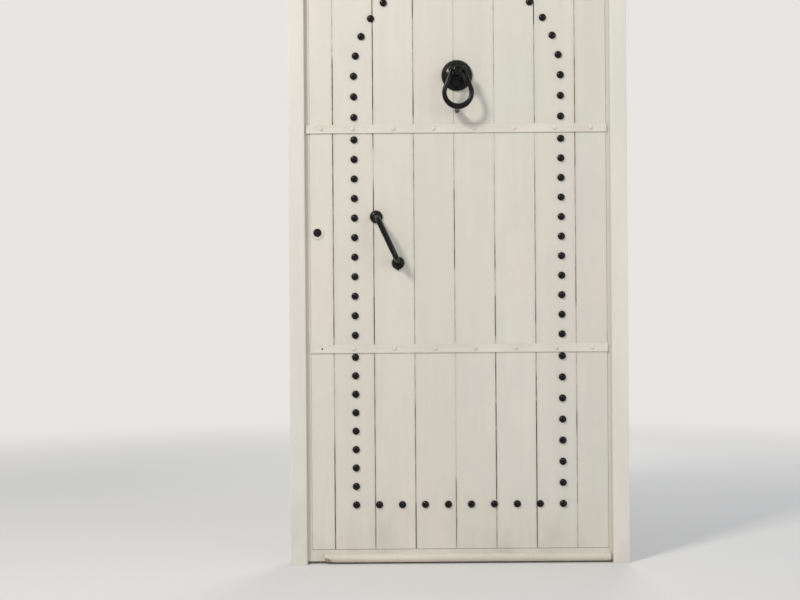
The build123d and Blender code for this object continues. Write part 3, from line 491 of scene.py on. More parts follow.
steel = steel_finish("steel", srgb(172, 170, 166), 0.34, 500)
lock_tones = (srgb(7, 7, 8), srgb(17, 17, 18), srgb(40, 38, 36))
lock_black = iron_finish("lock_black", lock_tones, 0.2, 0.30, 0.3)
print("lock finishes ready")

# %% [markdown]
# ## Give the solids their finishes
# Each solid of the frame carries the name of its slot. The solid's own mesh stays as it is, and only the
# material in its slot is exchanged. The leaf's frame and the weather bar have no joints of planks, so
# they get the paint without the joint lines.

# %% Assign the finishes
finish_of_slot = {
    "frame_paint": frame_white,
    "leaf_paint": plain_white,
    "strap_paint": strap_white,
    "escutcheon_paint": plain_white,
    "black_iron": black_iron,
    "dark_iron": dark_iron,
    "lock_black": lock_black,
    "steel": steel,
}
for name, node in nodes.items():
    for held in node.material_slots:
        slot_name = held.material.name.split(".")[0]
        held.material = leaf_white if name.startswith("plank") else finish_of_slot[slot_name]
print("finishes on", len(nodes), "solids")

# %% [markdown]
# ## Working on a mesh
# An operator acts on whatever is active and selected, which is easy to get wrong in a script. So each
# helper below first leaves edit mode and picks exactly the piece that it works on. When a piece is done,
# its place, turn and size are put into its mesh, so the object itself stays at the origin, where the
# patterns of its finish expect it.

# %% Helpers for editing
along_x, along_y = (0, math.pi / 2, 0), (math.pi / 2, 0, 0)


def pick(piece):
    """Select one piece and nothing else."""
    clear()
    bpy.context.view_layer.objects.active = piece
    piece.select_set(True)


def edit(piece):
    """Open a piece in edit mode with everything selected."""
    pick(piece)
    bpy.ops.object.mode_set(mode="EDIT")
    bpy.ops.mesh.select_all(action="SELECT")


def fix_place(piece):
    """Put a piece's place, turn and size into its mesh."""
    pick(piece)
    bpy.ops.object.transform_apply(location=True, rotation=True, scale=True)


def settle(piece, name, finish, smooth):
    """Finish a piece: place in the mesh, shading smooth up to an angle, name and finish."""
    fix_place(piece)
    bpy.ops.object.shade_smooth_by_angle(angle=math.radians(smooth))
    piece.name = name
    piece.data.name = name
    piece.data.materials.clear()
    piece.data.materials.append(finish)
    clear()
    return piece


def apply_modifiers(piece):
    """Apply every modifier of a piece, in order."""
    pick(piece)
    for modifier in list(piece.modifiers):
        bpy.ops.object.modifier_apply(modifier=modifier.name)


def joined(parts):
    """Join several parts into the first one."""
    clear()
    for part in parts:
        part.select_set(True)
    bpy.context.view_layer.objects.active = parts[0]
    bpy.ops.object.join()
    return parts[0]


print("helpers for editing ready")

# %% [markdown]
# ## Turning a piece
# Studs, roses, the rosette and the boss are all round about an axis that runs out of the door. In
# Blender such a piece can be drawn as a disc at the back and then grown: extrude the face forward,
# scale it, and repeat. Each pair of numbers below is a radius and a distance out from the planks.

# %% Helper for turned pieces
def turned(x, y, z, rings, sides):
    """Grow a round piece out of the door from its back ring to its front ring."""
    clear()
    radius, out = rings[0]
    bpy.ops.mesh.primitive_circle_add(
        vertices=sides, radius=radius, fill_type="NGON", location=(x, y - out, z), rotation=along_y
    )
    piece = bpy.context.object
    bpy.ops.object.transform_apply(location=True, rotation=True, scale=True)
    edit(piece)
    for next_radius, next_out in rings[1:]:
        bpy.ops.mesh.extrude_region_move(TRANSFORM_OT_translate={"value": (0, out - next_out, 0)})
        grow = next_radius / radius
        bpy.ops.transform.resize(value=(grow, 1, grow), center_override=(x, y - next_out, z))
        radius, out = next_radius, next_out
    bpy.ops.mesh.select_all(action="SELECT")
    bpy.ops.mesh.normals_make_consistent(inside=False)
    clear()
    return piece


print("helper for turned pieces ready")

# %% [markdown]
# ## Places that the solids give
# The studs and the nails are one node each, with many separate solids in it. Points that share a face
# belong to one solid, so the faces are walked through and their points put in one group. The box of each
# group then tells where a stud or a nail belongs.

# %% Find the separate solids
def islands(name):
    """Lowest and highest corner of each separate solid in a node of the frame."""
    mesh = nodes[name].data
    keys = [tuple(round(c, 5) for c in vertex.co) for vertex in mesh.vertices]
    parent = {key: key for key in keys}

    def root(key):
        while parent[key] != key:
            parent[key] = parent[parent[key]]
            key = parent[key]
        return key

    for face in mesh.polygons:
        first = root(keys[face.vertices[0]])
        for corner in face.vertices:
            parent[root(keys[corner])] = first
    groups = {}
    for key in parent:
        groups.setdefault(root(key), []).append(key)
    return sorted((tuple(map(min, *g)), tuple(map(max, *g))) for g in groups.values())


def middles(name, y):
    """Place of each separate solid of a node, moved to a depth y."""
    return [((low[0] + high[0]) / 2, y, (low[2] + high[2]) / 2) for low, high in islands(name)]


stud_places = middles("studs", planks_face)
print(len(stud_places), "places for studs")

# %% [markdown]
# ## Softened edges
# The solids have knife edges, and nothing real has. Years of paint round every arris of the wood, and
# forged iron leaves the hammer with soft corners. These pieces keep their shape, so each one starts as a
# copy of its solid: the loose triangles are merged, flat faces are dissolved into one, and a small bevel
# goes on every edge that turns by more than 35 degrees. Thick paint gets a wider bevel than iron.

# %% Soften wood and iron
merge_distance = 0.00001
flat_angle, sharp_angle = math.radians(0.5), math.radians(35)


def softened(node_name, name, body, slot, width):
    """Dressed copy of a solid with small rounded edges, in the finish of its slot."""
    clear()
    piece = bpy.data.objects.new(name, nodes[node_name].data.copy())
    bpy.context.collection.objects.link(piece)
    edit(piece)
    bpy.ops.mesh.remove_doubles(threshold=merge_distance)
    bpy.ops.mesh.dissolve_limited(angle_limit=flat_angle)
    clear()
    arris = piece.modifiers.new("arris", "BEVEL")
    arris.width = width
    arris.segments = 2
    arris.limit_method = "ANGLE"
    arris.angle_limit = sharp_angle
    arris.use_clamp_overlap = False
    apply_modifiers(piece)
    piece = settle(piece, name, finish_of_slot[slot], 20)
    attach(piece, body)
    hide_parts(node_name)
    return piece


timber = (
    "stile_lock_side", "stile_hinge_side", "bottom_rail", "lower_ledge", "upper_ledge", "top_rail",
)
leaf_iron = ("lower_hinge_band", "upper_hinge_band", "lock_plate", "lock_case", "tang_plates")
softening = (
    ("painted", "frame", "frame_paint", 0.0009, ("jamb_lock_side", "jamb_hinge_side", "head")),
    ("painted", "leaf", "leaf_paint", 0.0006, timber),
    ("painted", "leaf", "strap_paint", 0.0007, ("lower_strap", "upper_strap")),
    ("forged", "leaf", "dark_iron", 0.0006, leaf_iron),
    ("forged", "frame", "dark_iron", 0.0006, ("lower_hinge_hook", "upper_hinge_hook", "keep")),
    ("forged", "lock_drive", "dark_iron", 0.0003, ("thumb_turn",)),
)
soft = []
for made_by, body, slot, width, names in softening:
    soft += [softened(name, f"{made_by}_{name}", body, slot, width) for name in names]
print(len(soft), "softened pieces,", sum(len(piece.data.polygons) for piece in soft), "faces")

# %% [markdown]
# ## Paint in the joints
# The planks have tongues and grooves with a V between them. Years of paint have half filled the V: in
# some stretches it is bridged and hardly shows, in others it is open and dark. A texture could draw such
# lines, but real relief looks right from every side, so each joint gets its own thin skin of paint. It
# starts as a grid, each of its rows sinks into the V as far as the joint is open at that height, and a
# Solidify modifier gives it the thickness of paint. How open the joint is there, most at its middle, is
# kept in an attribute as well, and from it the material paints dirt and the shade of the open V.

# %% Finish for the joints
def joint_paint(name):
    """Door paint that turns to dirt and shade where the skin has sunk."""
    made, shader, place = new_finish(name, 0.55)
    depth = made.node_tree.nodes.new("ShaderNodeAttribute")
    depth.attribute_name = "sunk"
    speck = noise(made, stretched(made, place, (1, 1, 0.25)), 260, 4, 0.65)
    uneven = between(made, speck, 0.3, 0.7, -0.08, 0.08)
    uneven = calc(made, "ADD", depth.outputs["Fac"], uneven)
    mottle = between(made, speck, 0.3, 0.7)
    # The skin's paint is a little darker than the planks', a faint painted shade along every joint. Where
    # the joint is open it turns grey with dirt and painted shade, and deep in the V near black, mostly
    # painted shade of the groove.
    colour = over(made, mottle, srgb(207, 201, 189), srgb(197, 190, 177))
    colour = over(made, between(made, uneven, 0.04, 0.38), colour, srgb(142, 133, 117))
    colour = over(made, between(made, uneven, 0.36, 0.85), colour, srgb(46, 41, 35))
    use(made, colour, shader, "Base Color")
    use(made, between(made, speck, 0.3, 0.7, 0.5, 0.7), shader, "Roughness")
    relief(made, shader, speck, 0.3, 0.0006)
    return made


joint_white = joint_paint("joint_white")
print("joint paint ready")

# %% [markdown]
# ## Where the joints are open
# Each stretch below is a low end, a high end and how far the joint is open between them, in metres above
# the floor. Between the stretches a joint keeps its usual opening, and three waves make it wander.

# %% Openings of the joints
usual_opening = (0.40, 0.40, 0.30, 0.14, 0.18, 0.32, 0.28)
open_stretches = (
    ((1.57, 1.96, 0.16), (1.40, 1.55, 0.60), (1.10, 1.37, 0.52),
     (0.71, 0.74, 1.0), (0.40, 0.65, 0.18), (0.05, 0.35, 0.55)),
    ((1.68, 1.71, 1.0), (1.41, 1.66, 0.55), (1.19, 1.28, 0.08),
     (1.09, 1.15, 0.75), (0.70, 0.82, 0.80), (0.05, 0.50, 0.40)),
    ((1.70, 1.96, 0.80), (1.47, 1.63, 0.28), (1.39, 1.46, 0.60),
     (0.51, 1.19, 0.24), (0.26, 0.50, 0.40), (0.05, 0.18, 1.8)),
    ((1.59, 1.96, 0.05), (1.17, 1.33, 0.20), (0.91, 1.16, 0.45),
     (0.68, 0.86, 0.22), (0.29, 0.66, 0.05), (0.05, 0.26, 0.42)),
    ((1.50, 1.74, 0.20), (1.24, 1.47, 0.06), (0.91, 0.99, 0.50), (0.71, 0.82, 1.4),
     (0.51, 0.66, 0.50), (0.43, 0.49, 1.7), (0.20, 0.41, 0.80), (0.05, 0.18, 0.32)),
    ((1.67, 1.96, 0.60), (1.39, 1.65, 0.25), (1.25, 1.36, 0.10), (0.74, 0.83, 0.45),
     (0.52, 0.57, 1.0), (0.23, 0.50, 0.75), (0.07, 0.21, 1.7)),
    ((1.60, 1.96, 0.22), (1.22, 1.56, 0.42), (0.80, 0.92, 0.45), (0.49, 0.78, 0.18),
     (0.42, 0.47, 0.50), (0.20, 0.40, 0.28), (0.05, 0.18, 0.18)),
)
blend_length = 0.02
least_opening = 0.05


def opening_at(height, joint):
    """How far a joint is open at a height: 0 is bridged, 1 is open to the tongue, more is a crack."""
    opening = usual_opening[joint]
    for low, high, depth in open_stretches[joint]:
        inside = min(height - low, high - height) / blend_length + 0.5
        if inside > 0:
            opening += (depth - opening) * min(1.0, inside)
    waves = math.sin(height * 61 + joint * 2.3) * 0.5 + math.sin(height * 143 + joint * 5.1) * 0.3
    waves += math.sin(height * 397 + joint) * 0.2
    return max(least_opening, opening + 0.2 * waves * (0.25 + opening))


print("at 1 m the joints are open by", [round(opening_at(1.0, joint), 2) for joint in range(7)])

# %% [markdown]
# ## Filling the joints
# A grid with many rows is laid on the planks over each joint. Every point goes back by the slope of the
# V, and near the middle by a narrow crack as well, where the joint is open enough to show one.

# %% Fill the joints with paint
planks_foot, planks_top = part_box("plank_4")[0].z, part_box("plank_4")[1].z
half_gap = 0.0005
joint_places = [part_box(f"plank_{k}")[0].x - half_gap for k in range(2, 9)]
skin_width, paint_thickness = 0.0042, 0.0003
vee_half_width = 0.0020
crack_half_width, crack_depth = 0.0009, 0.0035
proud = 0.00006


def joint_skin(joint, x):
    """Skin of paint in one joint, from the foot to the top of the planks."""
    clear()
    bpy.ops.mesh.primitive_grid_add(x_subdivisions=8, y_subdivisions=240, size=1, location=(0, 0, 0))
    skin = bpy.context.object
    skin.scale = (skin_width, planks_top - planks_foot, 1)
    skin.rotation_euler = along_y
    skin.location = (x, planks_face, (planks_foot + planks_top) / 2)
    bpy.ops.object.transform_apply(location=True, rotation=True, scale=True)
    sunk = skin.data.attributes.new("sunk", "FLOAT", "POINT")
    for vertex, kept in zip(skin.data.vertices, sunk.data):
        side = abs(vertex.co.x - x)
        opening = opening_at(vertex.co.z, joint)
        slope = max(0.0, vee_half_width - side) * min(1.0, opening)
        cracked = max(0.0, min(opening, 1.1) - 0.3)
        crack = max(0.0, 1 - side / crack_half_width) * cracked * crack_depth
        vertex.co.y += slope + crack - proud
        # How dark the joint paint is painted here: dirt and painted shade, strongest in the middle of an
        # open joint.
        kept.value = min(1.0, opening * (1.35 - 1.05 * side / (skin_width / 2)))
    thickness = skin.modifiers.new("thickness", "SOLIDIFY")
    thickness.thickness = paint_thickness
    thickness.offset = -1
    apply_modifiers(skin)
    return skin


skins = joined([joint_skin(joint, x) for joint, x in enumerate(joint_places)])
skins = settle(skins, "joint_paint", joint_white, 50)
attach(skins, "leaf")
print(len(joint_places), "joints,", len(skins.data.polygons), "faces of paint")

# %% [markdown]
# ## Studs
# Each stud is a forged nail with a domed head. It could be half of a sphere, but a real head is flatter,
# with a short upright rim. One head is turned, then copied to every place that a stud has in the frame.
# No two forged heads are alike, so each copy is turned round its axis and made smaller by up to a few
# percent. The random numbers are seeded, so the door is the same every time.

# %% Make the studs
random.seed(11)
stud_rings = [
    (0.0109, 0.0), (0.0114, 0.0007), (0.0115, 0.0018), (0.0111, 0.0034), (0.0101, 0.0050),
    (0.0085, 0.0064), (0.0062, 0.0076), (0.0036, 0.0083), (0.0012, 0.0085),
]
stud = turned(0, 0, 0, stud_rings, 18)


def copied(pattern, places, spread):
    """Copies of a pattern piece, each with its own mesh, turned and varied a little."""
    made = []
    for place in places:
        piece = pattern.copy()
        piece.data = pattern.data.copy()
        bpy.context.collection.objects.link(piece)
        grow = 1 - random.uniform(0, spread)
        piece.scale = (grow, 1 - random.uniform(0, 2 * spread), grow * (1 - random.uniform(0, spread)))
        piece.rotation_euler = (0, random.uniform(0, math.tau), 0)
        piece.location = place
        made.append(piece)
    bpy.data.objects.remove(pattern)
    return made


domed_studs = settle(joined(copied(stud, stud_places, 0.02)), "domed_studs", black_iron, 50)
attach(domed_studs, "leaf")
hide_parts("studs")
print(len(stud_places), "studs,", len(domed_studs.data.polygons), "faces")

# %% [markdown]
# ## Nails of the straps
# A smaller nail holds the strap to each plank. It goes right through, and its point is bent over at the
# back. Its head was painted with the strap. The lower strap has lost its first nail, and the hole is
# left open there, as it is on the real door. One nail is made and copied, as the studs are.

# %% Make the strap nails
strap_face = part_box("upper_strap")[0].y
leaf_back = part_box("stile_lock_side")[1].y
nail_reach = leaf_back - strap_face
shank_thick = 0.005
clench_length, clench_thick = 0.010, 0.0018
nail_rings = [
    (0.0060, 0.0), (0.0065, 0.0004), (0.0065, 0.0010), (0.0058, 0.0018), (0.0043, 0.0025),
    (0.0022, 0.0029), (0.0008, 0.0030),
]


def block(place, size):
    """Box of a size around a place."""
    bpy.ops.mesh.primitive_cube_add(size=1, location=place, scale=size)
    return bpy.context.object


def rounded(piece, width, segments):
    """Bevel the edges of a piece."""
    edge = piece.modifiers.new("rounded", "BEVEL")
    edge.width = width
    edge.segments = segments
    apply_modifiers(piece)
    return piece


head = turned(0, 0, 0, nail_rings, 16)
shank = block((0, nail_reach / 2, 0), (shank_thick, nail_reach, shank_thick))
clench_place = (shank_thick / 2, nail_reach + clench_thick / 2, 0)
clench = rounded(block(clench_place, (clench_length, clench_thick, shank_thick)), 0.0006, 1)
nail = joined([head, shank, clench])
fix_place(nail)
nail_places = middles("strap_nails", strap_face)
nails = copied(nail, nail_places, 0.0)
painted_nails = settle(joined(nails), "painted_nails", strap_white, 45)
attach(painted_nails, "leaf")
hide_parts("strap_nails")
print(len(nail_places), "strap nails")

# %% [markdown]
# ## Tangs behind the planks
# The handle and the knocker are held by square tangs that go through a plank and an iron plate, and are
# hammered over there. The hammered end spreads like a small cushion, which a bevelled block shows well.

# %% Helper for tangs
tang_plate_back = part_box("tang_plates")[1].y
tang_thick = 0.009
cushion_width, cushion_height = 0.014, 0.004


def tang(x, z):
    """Square tang with its hammered end, from the plank's face to behind the plate."""
    clear()
    reach = tang_plate_back - planks_face
    bar = block((x, planks_face + reach / 2, z), (tang_thick, reach, tang_thick))
    end_place = (x, tang_plate_back + cushion_height / 2, z)
    end = block(end_place, (cushion_width, cushion_height, cushion_width))
    bpy.ops.object.transform_apply(location=True, rotation=True, scale=True)
    return joined([rounded(end, 0.0018, 3), bar])


print("tang helper ready")

# %% [markdown]
# ## Rosette and boss of the knocker
# The knocker's base is one casting: a domed rosette against the planks, a short neck, and a boss that
# carries the pin of the ring. It is turned in one go from the back of the rosette to the dimple in the
# boss. The pin's hole goes across the boss, so it is cut at the end with a boolean, which is the
# plainest way to make a hole across a finished round shape. The bores are wider than the pin by less
# than a tenth of a millimetre.

# %% Make the knocker's base
pin_low, pin_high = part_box("knocker_pin")
pivot_y = (pin_low.y + pin_high.y) / 2
pivot_z = (pin_low.z + pin_high.z) / 2
boss_drop = 0.006
boss_z = pivot_z - boss_drop
boss_bore, eye_bore = 0.00405, 0.00408
base_rings = [
    (0.0468, 0.0), (0.0478, 0.0006), (0.0480, 0.0016), (0.0478, 0.0030), (0.0469, 0.0056),
    (0.0449, 0.0090), (0.0420, 0.0122), (0.0380, 0.0153), (0.0330, 0.0181), (0.0270, 0.0206),
    (0.0210, 0.0224), (0.0160, 0.0234), (0.0130, 0.0241), (0.0117, 0.0252), (0.0111, 0.0270),
    (0.0110, 0.0300), (0.0110, 0.0325), (0.0113, 0.0332), (0.0130, 0.0340), (0.0138, 0.0352),
    (0.0140, 0.0368), (0.0140, 0.0635), (0.0139, 0.0650), (0.0133, 0.0663), (0.0122, 0.0669),
    (0.0108, 0.0670), (0.0086, 0.0670), (0.0079, 0.0667), (0.0074, 0.0656), (0.0068, 0.0651),
    (0.0042, 0.0651), (0.0034, 0.0655), (0.0028, 0.0664), (0.0018, 0.0669), (0.0005, 0.0670),
]


def drilled(piece, radius, depth, place, direction, sides=32):
    """Cut a round hole in a piece, with a cylinder as the drill."""
    clear()
    bpy.ops.mesh.primitive_cylinder_add(
        vertices=sides, radius=radius, depth=depth, location=place, rotation=direction
    )
    drill = bpy.context.object
    hole = piece.modifiers.new("hole", "BOOLEAN")
    hole.object = drill
    hole.operation = "DIFFERENCE"
    apply_modifiers(piece)
    bpy.data.objects.remove(drill)
    return piece


casting = turned(0, planks_face, boss_z, base_rings, 56)
casting = drilled(casting, boss_bore, 0.05, (0, pivot_y, pivot_z), along_x)
casting = settle(joined([casting, tang(0, boss_z)]), "knocker_casting", black_iron, 35)
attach(casting, "leaf")
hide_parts("knocker_base")
print("knocker base:", len(casting.data.polygons), "faces")

# %% [markdown]
# ## Forging a bar along a path
# The ring and the handle are bars that were bent hot. A bar can be made by extruding its section step
# by step: move the new section to the next point of the path, turn it to face along the path, and scale
# it to the bar's thickness there. A curve with a bevel would do the same, but this way the section can
# be octagonal, oval or tapered. The path lies in an upright plane that faces sideways for the handle and
# forwards for the ring, so each turn is about one axis only.

# %% Helper for bars
def forged(points, axis, widths, depths, sides):
    """Bar through points in a plane across an axis: widths in that plane, depths across it."""
    points = [Vector(p) for p in points]
    flat = {"X": lambda v: math.atan2(v.z, v.y), "Y": lambda v: math.atan2(v.x, v.z)}[axis]
    runs = [b - a for a, b in zip(points, points[1:])]
    inner = [a.normalized() + b.normalized() for a, b in zip(runs, runs[1:])]
    angles = [flat(run) for run in [runs[0]] + inner + [runs[-1]]]
    clear()
    bpy.ops.mesh.primitive_circle_add(vertices=sides, radius=0.5, fill_type="NGON", location=(0, 0, 0))
    bar = bpy.context.object
    if axis == "Y":
        bar.scale = (widths[0], depths[0], 1)
        bar.rotation_euler = (0, angles[0], 0)
    else:
        bar.scale = (depths[0], widths[0], 1)
        bar.rotation_euler = (angles[0] - math.pi / 2, 0, 0)
    bar.location = points[0]
    bpy.ops.object.transform_apply(location=True, rotation=True, scale=True)
    edit(bar)
    for k in range(1, len(points)):
        step = tuple(points[k] - points[k - 1])
        bpy.ops.mesh.extrude_region_move(TRANSFORM_OT_translate={"value": step})
        turn = (angles[k] - angles[k - 1] + math.pi) % math.tau - math.pi
        bpy.ops.transform.rotate(value=-turn, orient_axis=axis, center_override=tuple(points[k]))
        grow = widths[k] / widths[k - 1]
        across = depths[k] / depths[k - 1]
        value = (grow, across, grow) if axis == "Y" else (across, grow, grow)
        bpy.ops.transform.resize(value=value, center_override=tuple(points[k]))
    bpy.ops.mesh.select_all(action="SELECT")
    bpy.ops.mesh.normals_make_consistent(inside=False)
    clear()
    return bar


print("bar helper ready")

# %% [markdown]
# ## Path of the ring
# The ring hangs from two eyes on the pin, one on each side of the boss. Its bar runs down from one eye
# on a straight arm, round the bottom and up to the other. The arms run into the round part without a
# kink, so the angle at which the arc starts follows from the eye's distance and the arc's radius.

# %% Bend the ring's path
ring_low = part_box("knocker_ring")[0]
ring_r, ring_depth, ring_drop = 0.0415, 0.0130, 0.073
eye_x, eye_drop = 0.020, 0.002
ring_y = ring_low.y + ring_depth / 2
ring_z = pivot_z - ring_drop
lead = math.hypot(eye_x, pivot_z - ring_z)
start = math.atan2(pivot_z - ring_z, eye_x) - math.acos(ring_r / lead)
arc_steps = 34
arc = [start - (math.pi + 2 * start) * k / arc_steps for k in range(arc_steps + 1)]
round_part = [(ring_r * math.cos(a), ring_y, ring_z + ring_r * math.sin(a)) for a in arc]
first = Vector(round_part[0])
eye_place = Vector((eye_x, ring_y, pivot_z - eye_drop))
right_arm = [tuple(eye_place.lerp(first, t)) for t in (0, 0.25, 0.5, 0.75)]
left_arm = [(-x, y, z) for x, y, z in reversed(right_arm)]
path = right_arm + round_part + left_arm
print("the ring's path has", len(path), "points")

# %% [markdown]
# ## Ring of the knocker
# It was forged from a round bar that swells towards the bottom, where the striker sits behind it and a
# small point hangs below. The bar, the eyes and the striker are made apart, then fused with a voxel
# remesh and smoothed, because forged iron flows from one form into the next with no sharp corner.

# %% Make the knocker's ring
arm_widths = [0.0095, 0.0105, 0.0120, 0.0135]
arm_depths = [0.0100, 0.0112, 0.0122, 0.0128]
round_widths = [0.0148 + 0.0030 * max(0, -math.sin(a)) ** 2 for a in arc]
widths = arm_widths + round_widths + arm_widths[::-1]
depths = arm_depths + [ring_depth] * len(arc) + arm_depths[::-1]
eye_r, eye_length = 0.0099, 0.0098
parts = [forged(path, "Y", widths, depths, 20)]
for side in (-1, 1):
    clear()
    eye_middle = (side * eye_x, pivot_y, pivot_z)
    bpy.ops.mesh.primitive_cylinder_add(
        vertices=40, radius=eye_r, depth=eye_length, location=eye_middle, rotation=along_x
    )
    parts.append(rounded(bpy.context.object, 0.002, 3))
striker_rise, striker_gap = 0.0090, 0.0003
striker_z = ring_low.z + striker_rise
striker_reach = planks_face - ring_y - striker_gap
striker_rings = [
    (0.0076, striker_gap), (0.0080, 0.0010), (0.0078, 0.0100), (0.0072, 0.0200), (0.0070, 0.0320),
    (0.0078, striker_reach - 0.006), (0.0080, striker_reach),
]
parts.append(turned(0, planks_face, striker_z, striker_rings, 24))
point_r, point_rise, point_back = 0.0052, 0.0012, 0.0062
point_rings = [(0.0040, 0.0), (point_r, 0.002), (point_r, 0.0105), (0.0040, 0.0124)]
parts.append(turned(0, ring_y + point_back, ring_low.z + point_rise + point_r, point_rings, 16))
ring = joined(parts)
fuse = ring.modifiers.new("fused", "REMESH")
fuse.mode = "VOXEL"
fuse.voxel_size = 0.0010
smoothing = ring.modifiers.new("smoothed", "SMOOTH")
smoothing.iterations = 6
smoothing.factor = 0.5
apply_modifiers(ring)
ring = drilled(ring, eye_bore, 0.12, (0, pivot_y, pivot_z), along_x)
ring = settle(ring, "forged_ring", black_iron, 60)
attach(ring, "knocker")
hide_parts("knocker_ring")
print("ring:", len(ring.data.polygons), "faces")

# %% [markdown]
# ## Pin of the knocker
# The pin is a plain rod with a hammered head at each end. The rod runs through the eyes with a hair of
# play, so its radius is the one in the frame; only the heads are domed here.

# %% Make the pin
clear()
pin_r = 0.004
head_size = (0.0024, 0.0058, 0.0058)
head_thick = 0.0025
pin_reach = pin_high.x - head_thick
bpy.ops.mesh.primitive_cylinder_add(
    vertices=32, radius=pin_r, depth=2 * pin_reach, location=(0, pivot_y, pivot_z), rotation=along_x
)
rod = bpy.context.object
heads = []
for side in (-1, 1):
    end = (side * pin_reach, pivot_y, pivot_z)
    bpy.ops.mesh.primitive_uv_sphere_add(segments=20, ring_count=12, radius=1, location=end, scale=head_size)
    heads.append(bpy.context.object)
    edit(heads[-1])
    bpy.ops.mesh.bisect(plane_co=(end[0], 0, 0), plane_no=(side, 0, 0), use_fill=True, clear_inner=True)
    clear()
pin = settle(joined([rod] + heads), "knocker_rod", black_iron, 40)
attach(pin, "leaf")
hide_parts("knocker_pin")
print("pin from", round(-pin_reach, 4), "to", round(pin_reach, 4))

# %% [markdown]
# ## Pull handle
# The handle is one forging: an octagonal bar on two leaning legs, with a domed rose where each leg meets
# the planks, and a small nub under the lower rose. It is modelled upright and then leaned, which is
# easier than modelling it slanted. The arrises of the bar stay crisp, because they show in the picture as
# fine lines along it.

# %% Make the pull handle
handle_lean = math.radians(25)
half_centres = 0.079
handle_x, handle_z = -0.2195, 1.0025
grip_half, grip_out, grip_crown = 0.052, 0.0585, 0.0005
grip_thick, grip_swell = 0.0170, 0.0008
profile = [
    (half_centres + 0.001, 0.006), (0.0668, 0.0455), (0.0653, 0.0500),
    (0.0618, 0.0546), (0.0570, 0.0576), (grip_half, grip_out),
]
side_points = [(0, planks_face - out, along) for along, out in profile]
steps = 12
middle = []
for k in range(1, steps):
    crown = grip_crown * math.sin(math.pi * k / steps)
    middle.append((0, planks_face - grip_out - crown, grip_half - 2 * grip_half * k / steps))
path = side_points + middle + [(x, y, -z) for x, y, z in reversed(side_points)]
last = len(path) - 1
thick = [grip_thick + grip_swell * math.sin(math.pi * k / last) for k in range(last + 1)]
grip = forged(path, "X", thick, thick, 8)
print("the grip has", len(grip.data.polygons), "faces")

# %% [markdown]
# ## Roses, tangs and the nub
# The roses are turned like the studs. They and the tangs are joined to the grip, and then the whole is
# leaned and moved to its place. The nub sits straight below the lower rose, so its place is worked out
# from the lean, and it is added last.

# %% Finish the pull handle
rose_rings = [
    (0.0192, 0.0), (0.0199, 0.0006), (0.0200, 0.0018), (0.0197, 0.0036), (0.0187, 0.0062),
    (0.0168, 0.0088), (0.0142, 0.0108), (0.0112, 0.0122), (0.0092, 0.0129), (0.0070, 0.0130),
]
roses = [turned(0, planks_face, side * half_centres, rose_rings, 36) for side in (-1, 1)]
tangs = [tang(0, side * half_centres) for side in (-1, 1)]
handle = joined([grip] + roses + tangs)
handle.rotation_euler = (0, -handle_lean, 0)
handle.location = (handle_x, 0, handle_z)
fix_place(handle)
nub_drop = 0.020
nub_x = handle_x + half_centres * math.sin(handle_lean)
nub_z = handle_z - half_centres * math.cos(handle_lean) - nub_drop
nub_rings = [(0.0032, 0.0), (0.0035, 0.001), (0.0035, 0.004), (0.0028, 0.0055), (0.0012, 0.006)]
nub = turned(nub_x, planks_face, nub_z, nub_rings, 12)
handle = settle(joined([handle, nub]), "forged_handle", black_iron, 28)
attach(handle, "leaf")
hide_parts("pull_handle")
print("handle:", len(handle.data.polygons), "faces")

# %% [markdown]
# ## Lock as seen from outside
# Only three small rounds show of the lock: a thin white plate, the black cylinder, and in it the plug
# with its keyway. The plate and the cylinder are turned like a stud, with softened edges that catch the
# light, and then bored. The plug has to fit its bore to a hair, so it stays the solid itself.

# %% Make the plate
plate_low, plate_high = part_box("lock_escutcheon")
cylinder_low, cylinder_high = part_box("lock_cylinder")
lock_x = (cylinder_low.x + cylinder_high.x) / 2
lock_z = (cylinder_low.z + cylinder_high.z) / 2
plate_r = (plate_high.x - plate_low.x) / 2
cylinder_r = (cylinder_high.x - cylinder_low.x) / 2
plate_play = 0.0002
tube_sides, drill_length = 56, 0.4


def tube(y, rings, bore):
    """Turned piece on the lock's axis, with a hole of radius bore right through it."""
    body = turned(lock_x, y, lock_z, rings, tube_sides)
    return drilled(body, bore, drill_length, (lock_x, y, lock_z), along_y, tube_sides)


plate_out = plate_high.y - plate_low.y
plate_rings = [
    (plate_r - 0.0004, 0.0), (plate_r, 0.0003), (plate_r - 0.0001, plate_out - 0.0010),
    (plate_r - 0.0008, plate_out - 0.0003), (plate_r - 0.0018, plate_out),
]
plate = tube(plate_high.y, plate_rings, cylinder_r + plate_play)
plate = settle(plate, "painted_plate", plain_white, 30)
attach(plate, "leaf")
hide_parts("lock_escutcheon")
print("plate, radius", round(plate_r, 4), "m")

# %% [markdown]
# ## Cylinder of the lock
# The cylinder's front has a narrow flat rim and then steps down a little towards the plug. Its bore is
# six hundredths of a millimetre wider than the plug in radius, which is the play that the plug turns in.

# %% Make the cylinder
cylinder_out = cylinder_high.y - cylinder_low.y
plug_low, plug_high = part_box("key_plug")
plug_play = 0.00006
plug_bore = (plug_high.x - plug_low.x) / 2 + plug_play
cylinder_rings = [
    (cylinder_r, 0.0), (cylinder_r, cylinder_out - 0.0016),
    (cylinder_r - 0.0003, cylinder_out - 0.0008), (cylinder_r - 0.0009, cylinder_out - 0.0002),
    (cylinder_r - 0.0017, cylinder_out), (cylinder_r - 0.0038, cylinder_out),
    (cylinder_r - 0.0041, cylinder_out - 0.0004), (cylinder_r - 0.0044, cylinder_out - 0.0004),
]
cylinder = tube(cylinder_high.y, cylinder_rings, plug_bore)
cylinder = settle(cylinder, "turned_cylinder", lock_black, 30)
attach(cylinder, "leaf")
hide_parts("lock_cylinder")
print("cylinder with a bore of", round(2000 * plug_bore, 2), "mm for its plug")

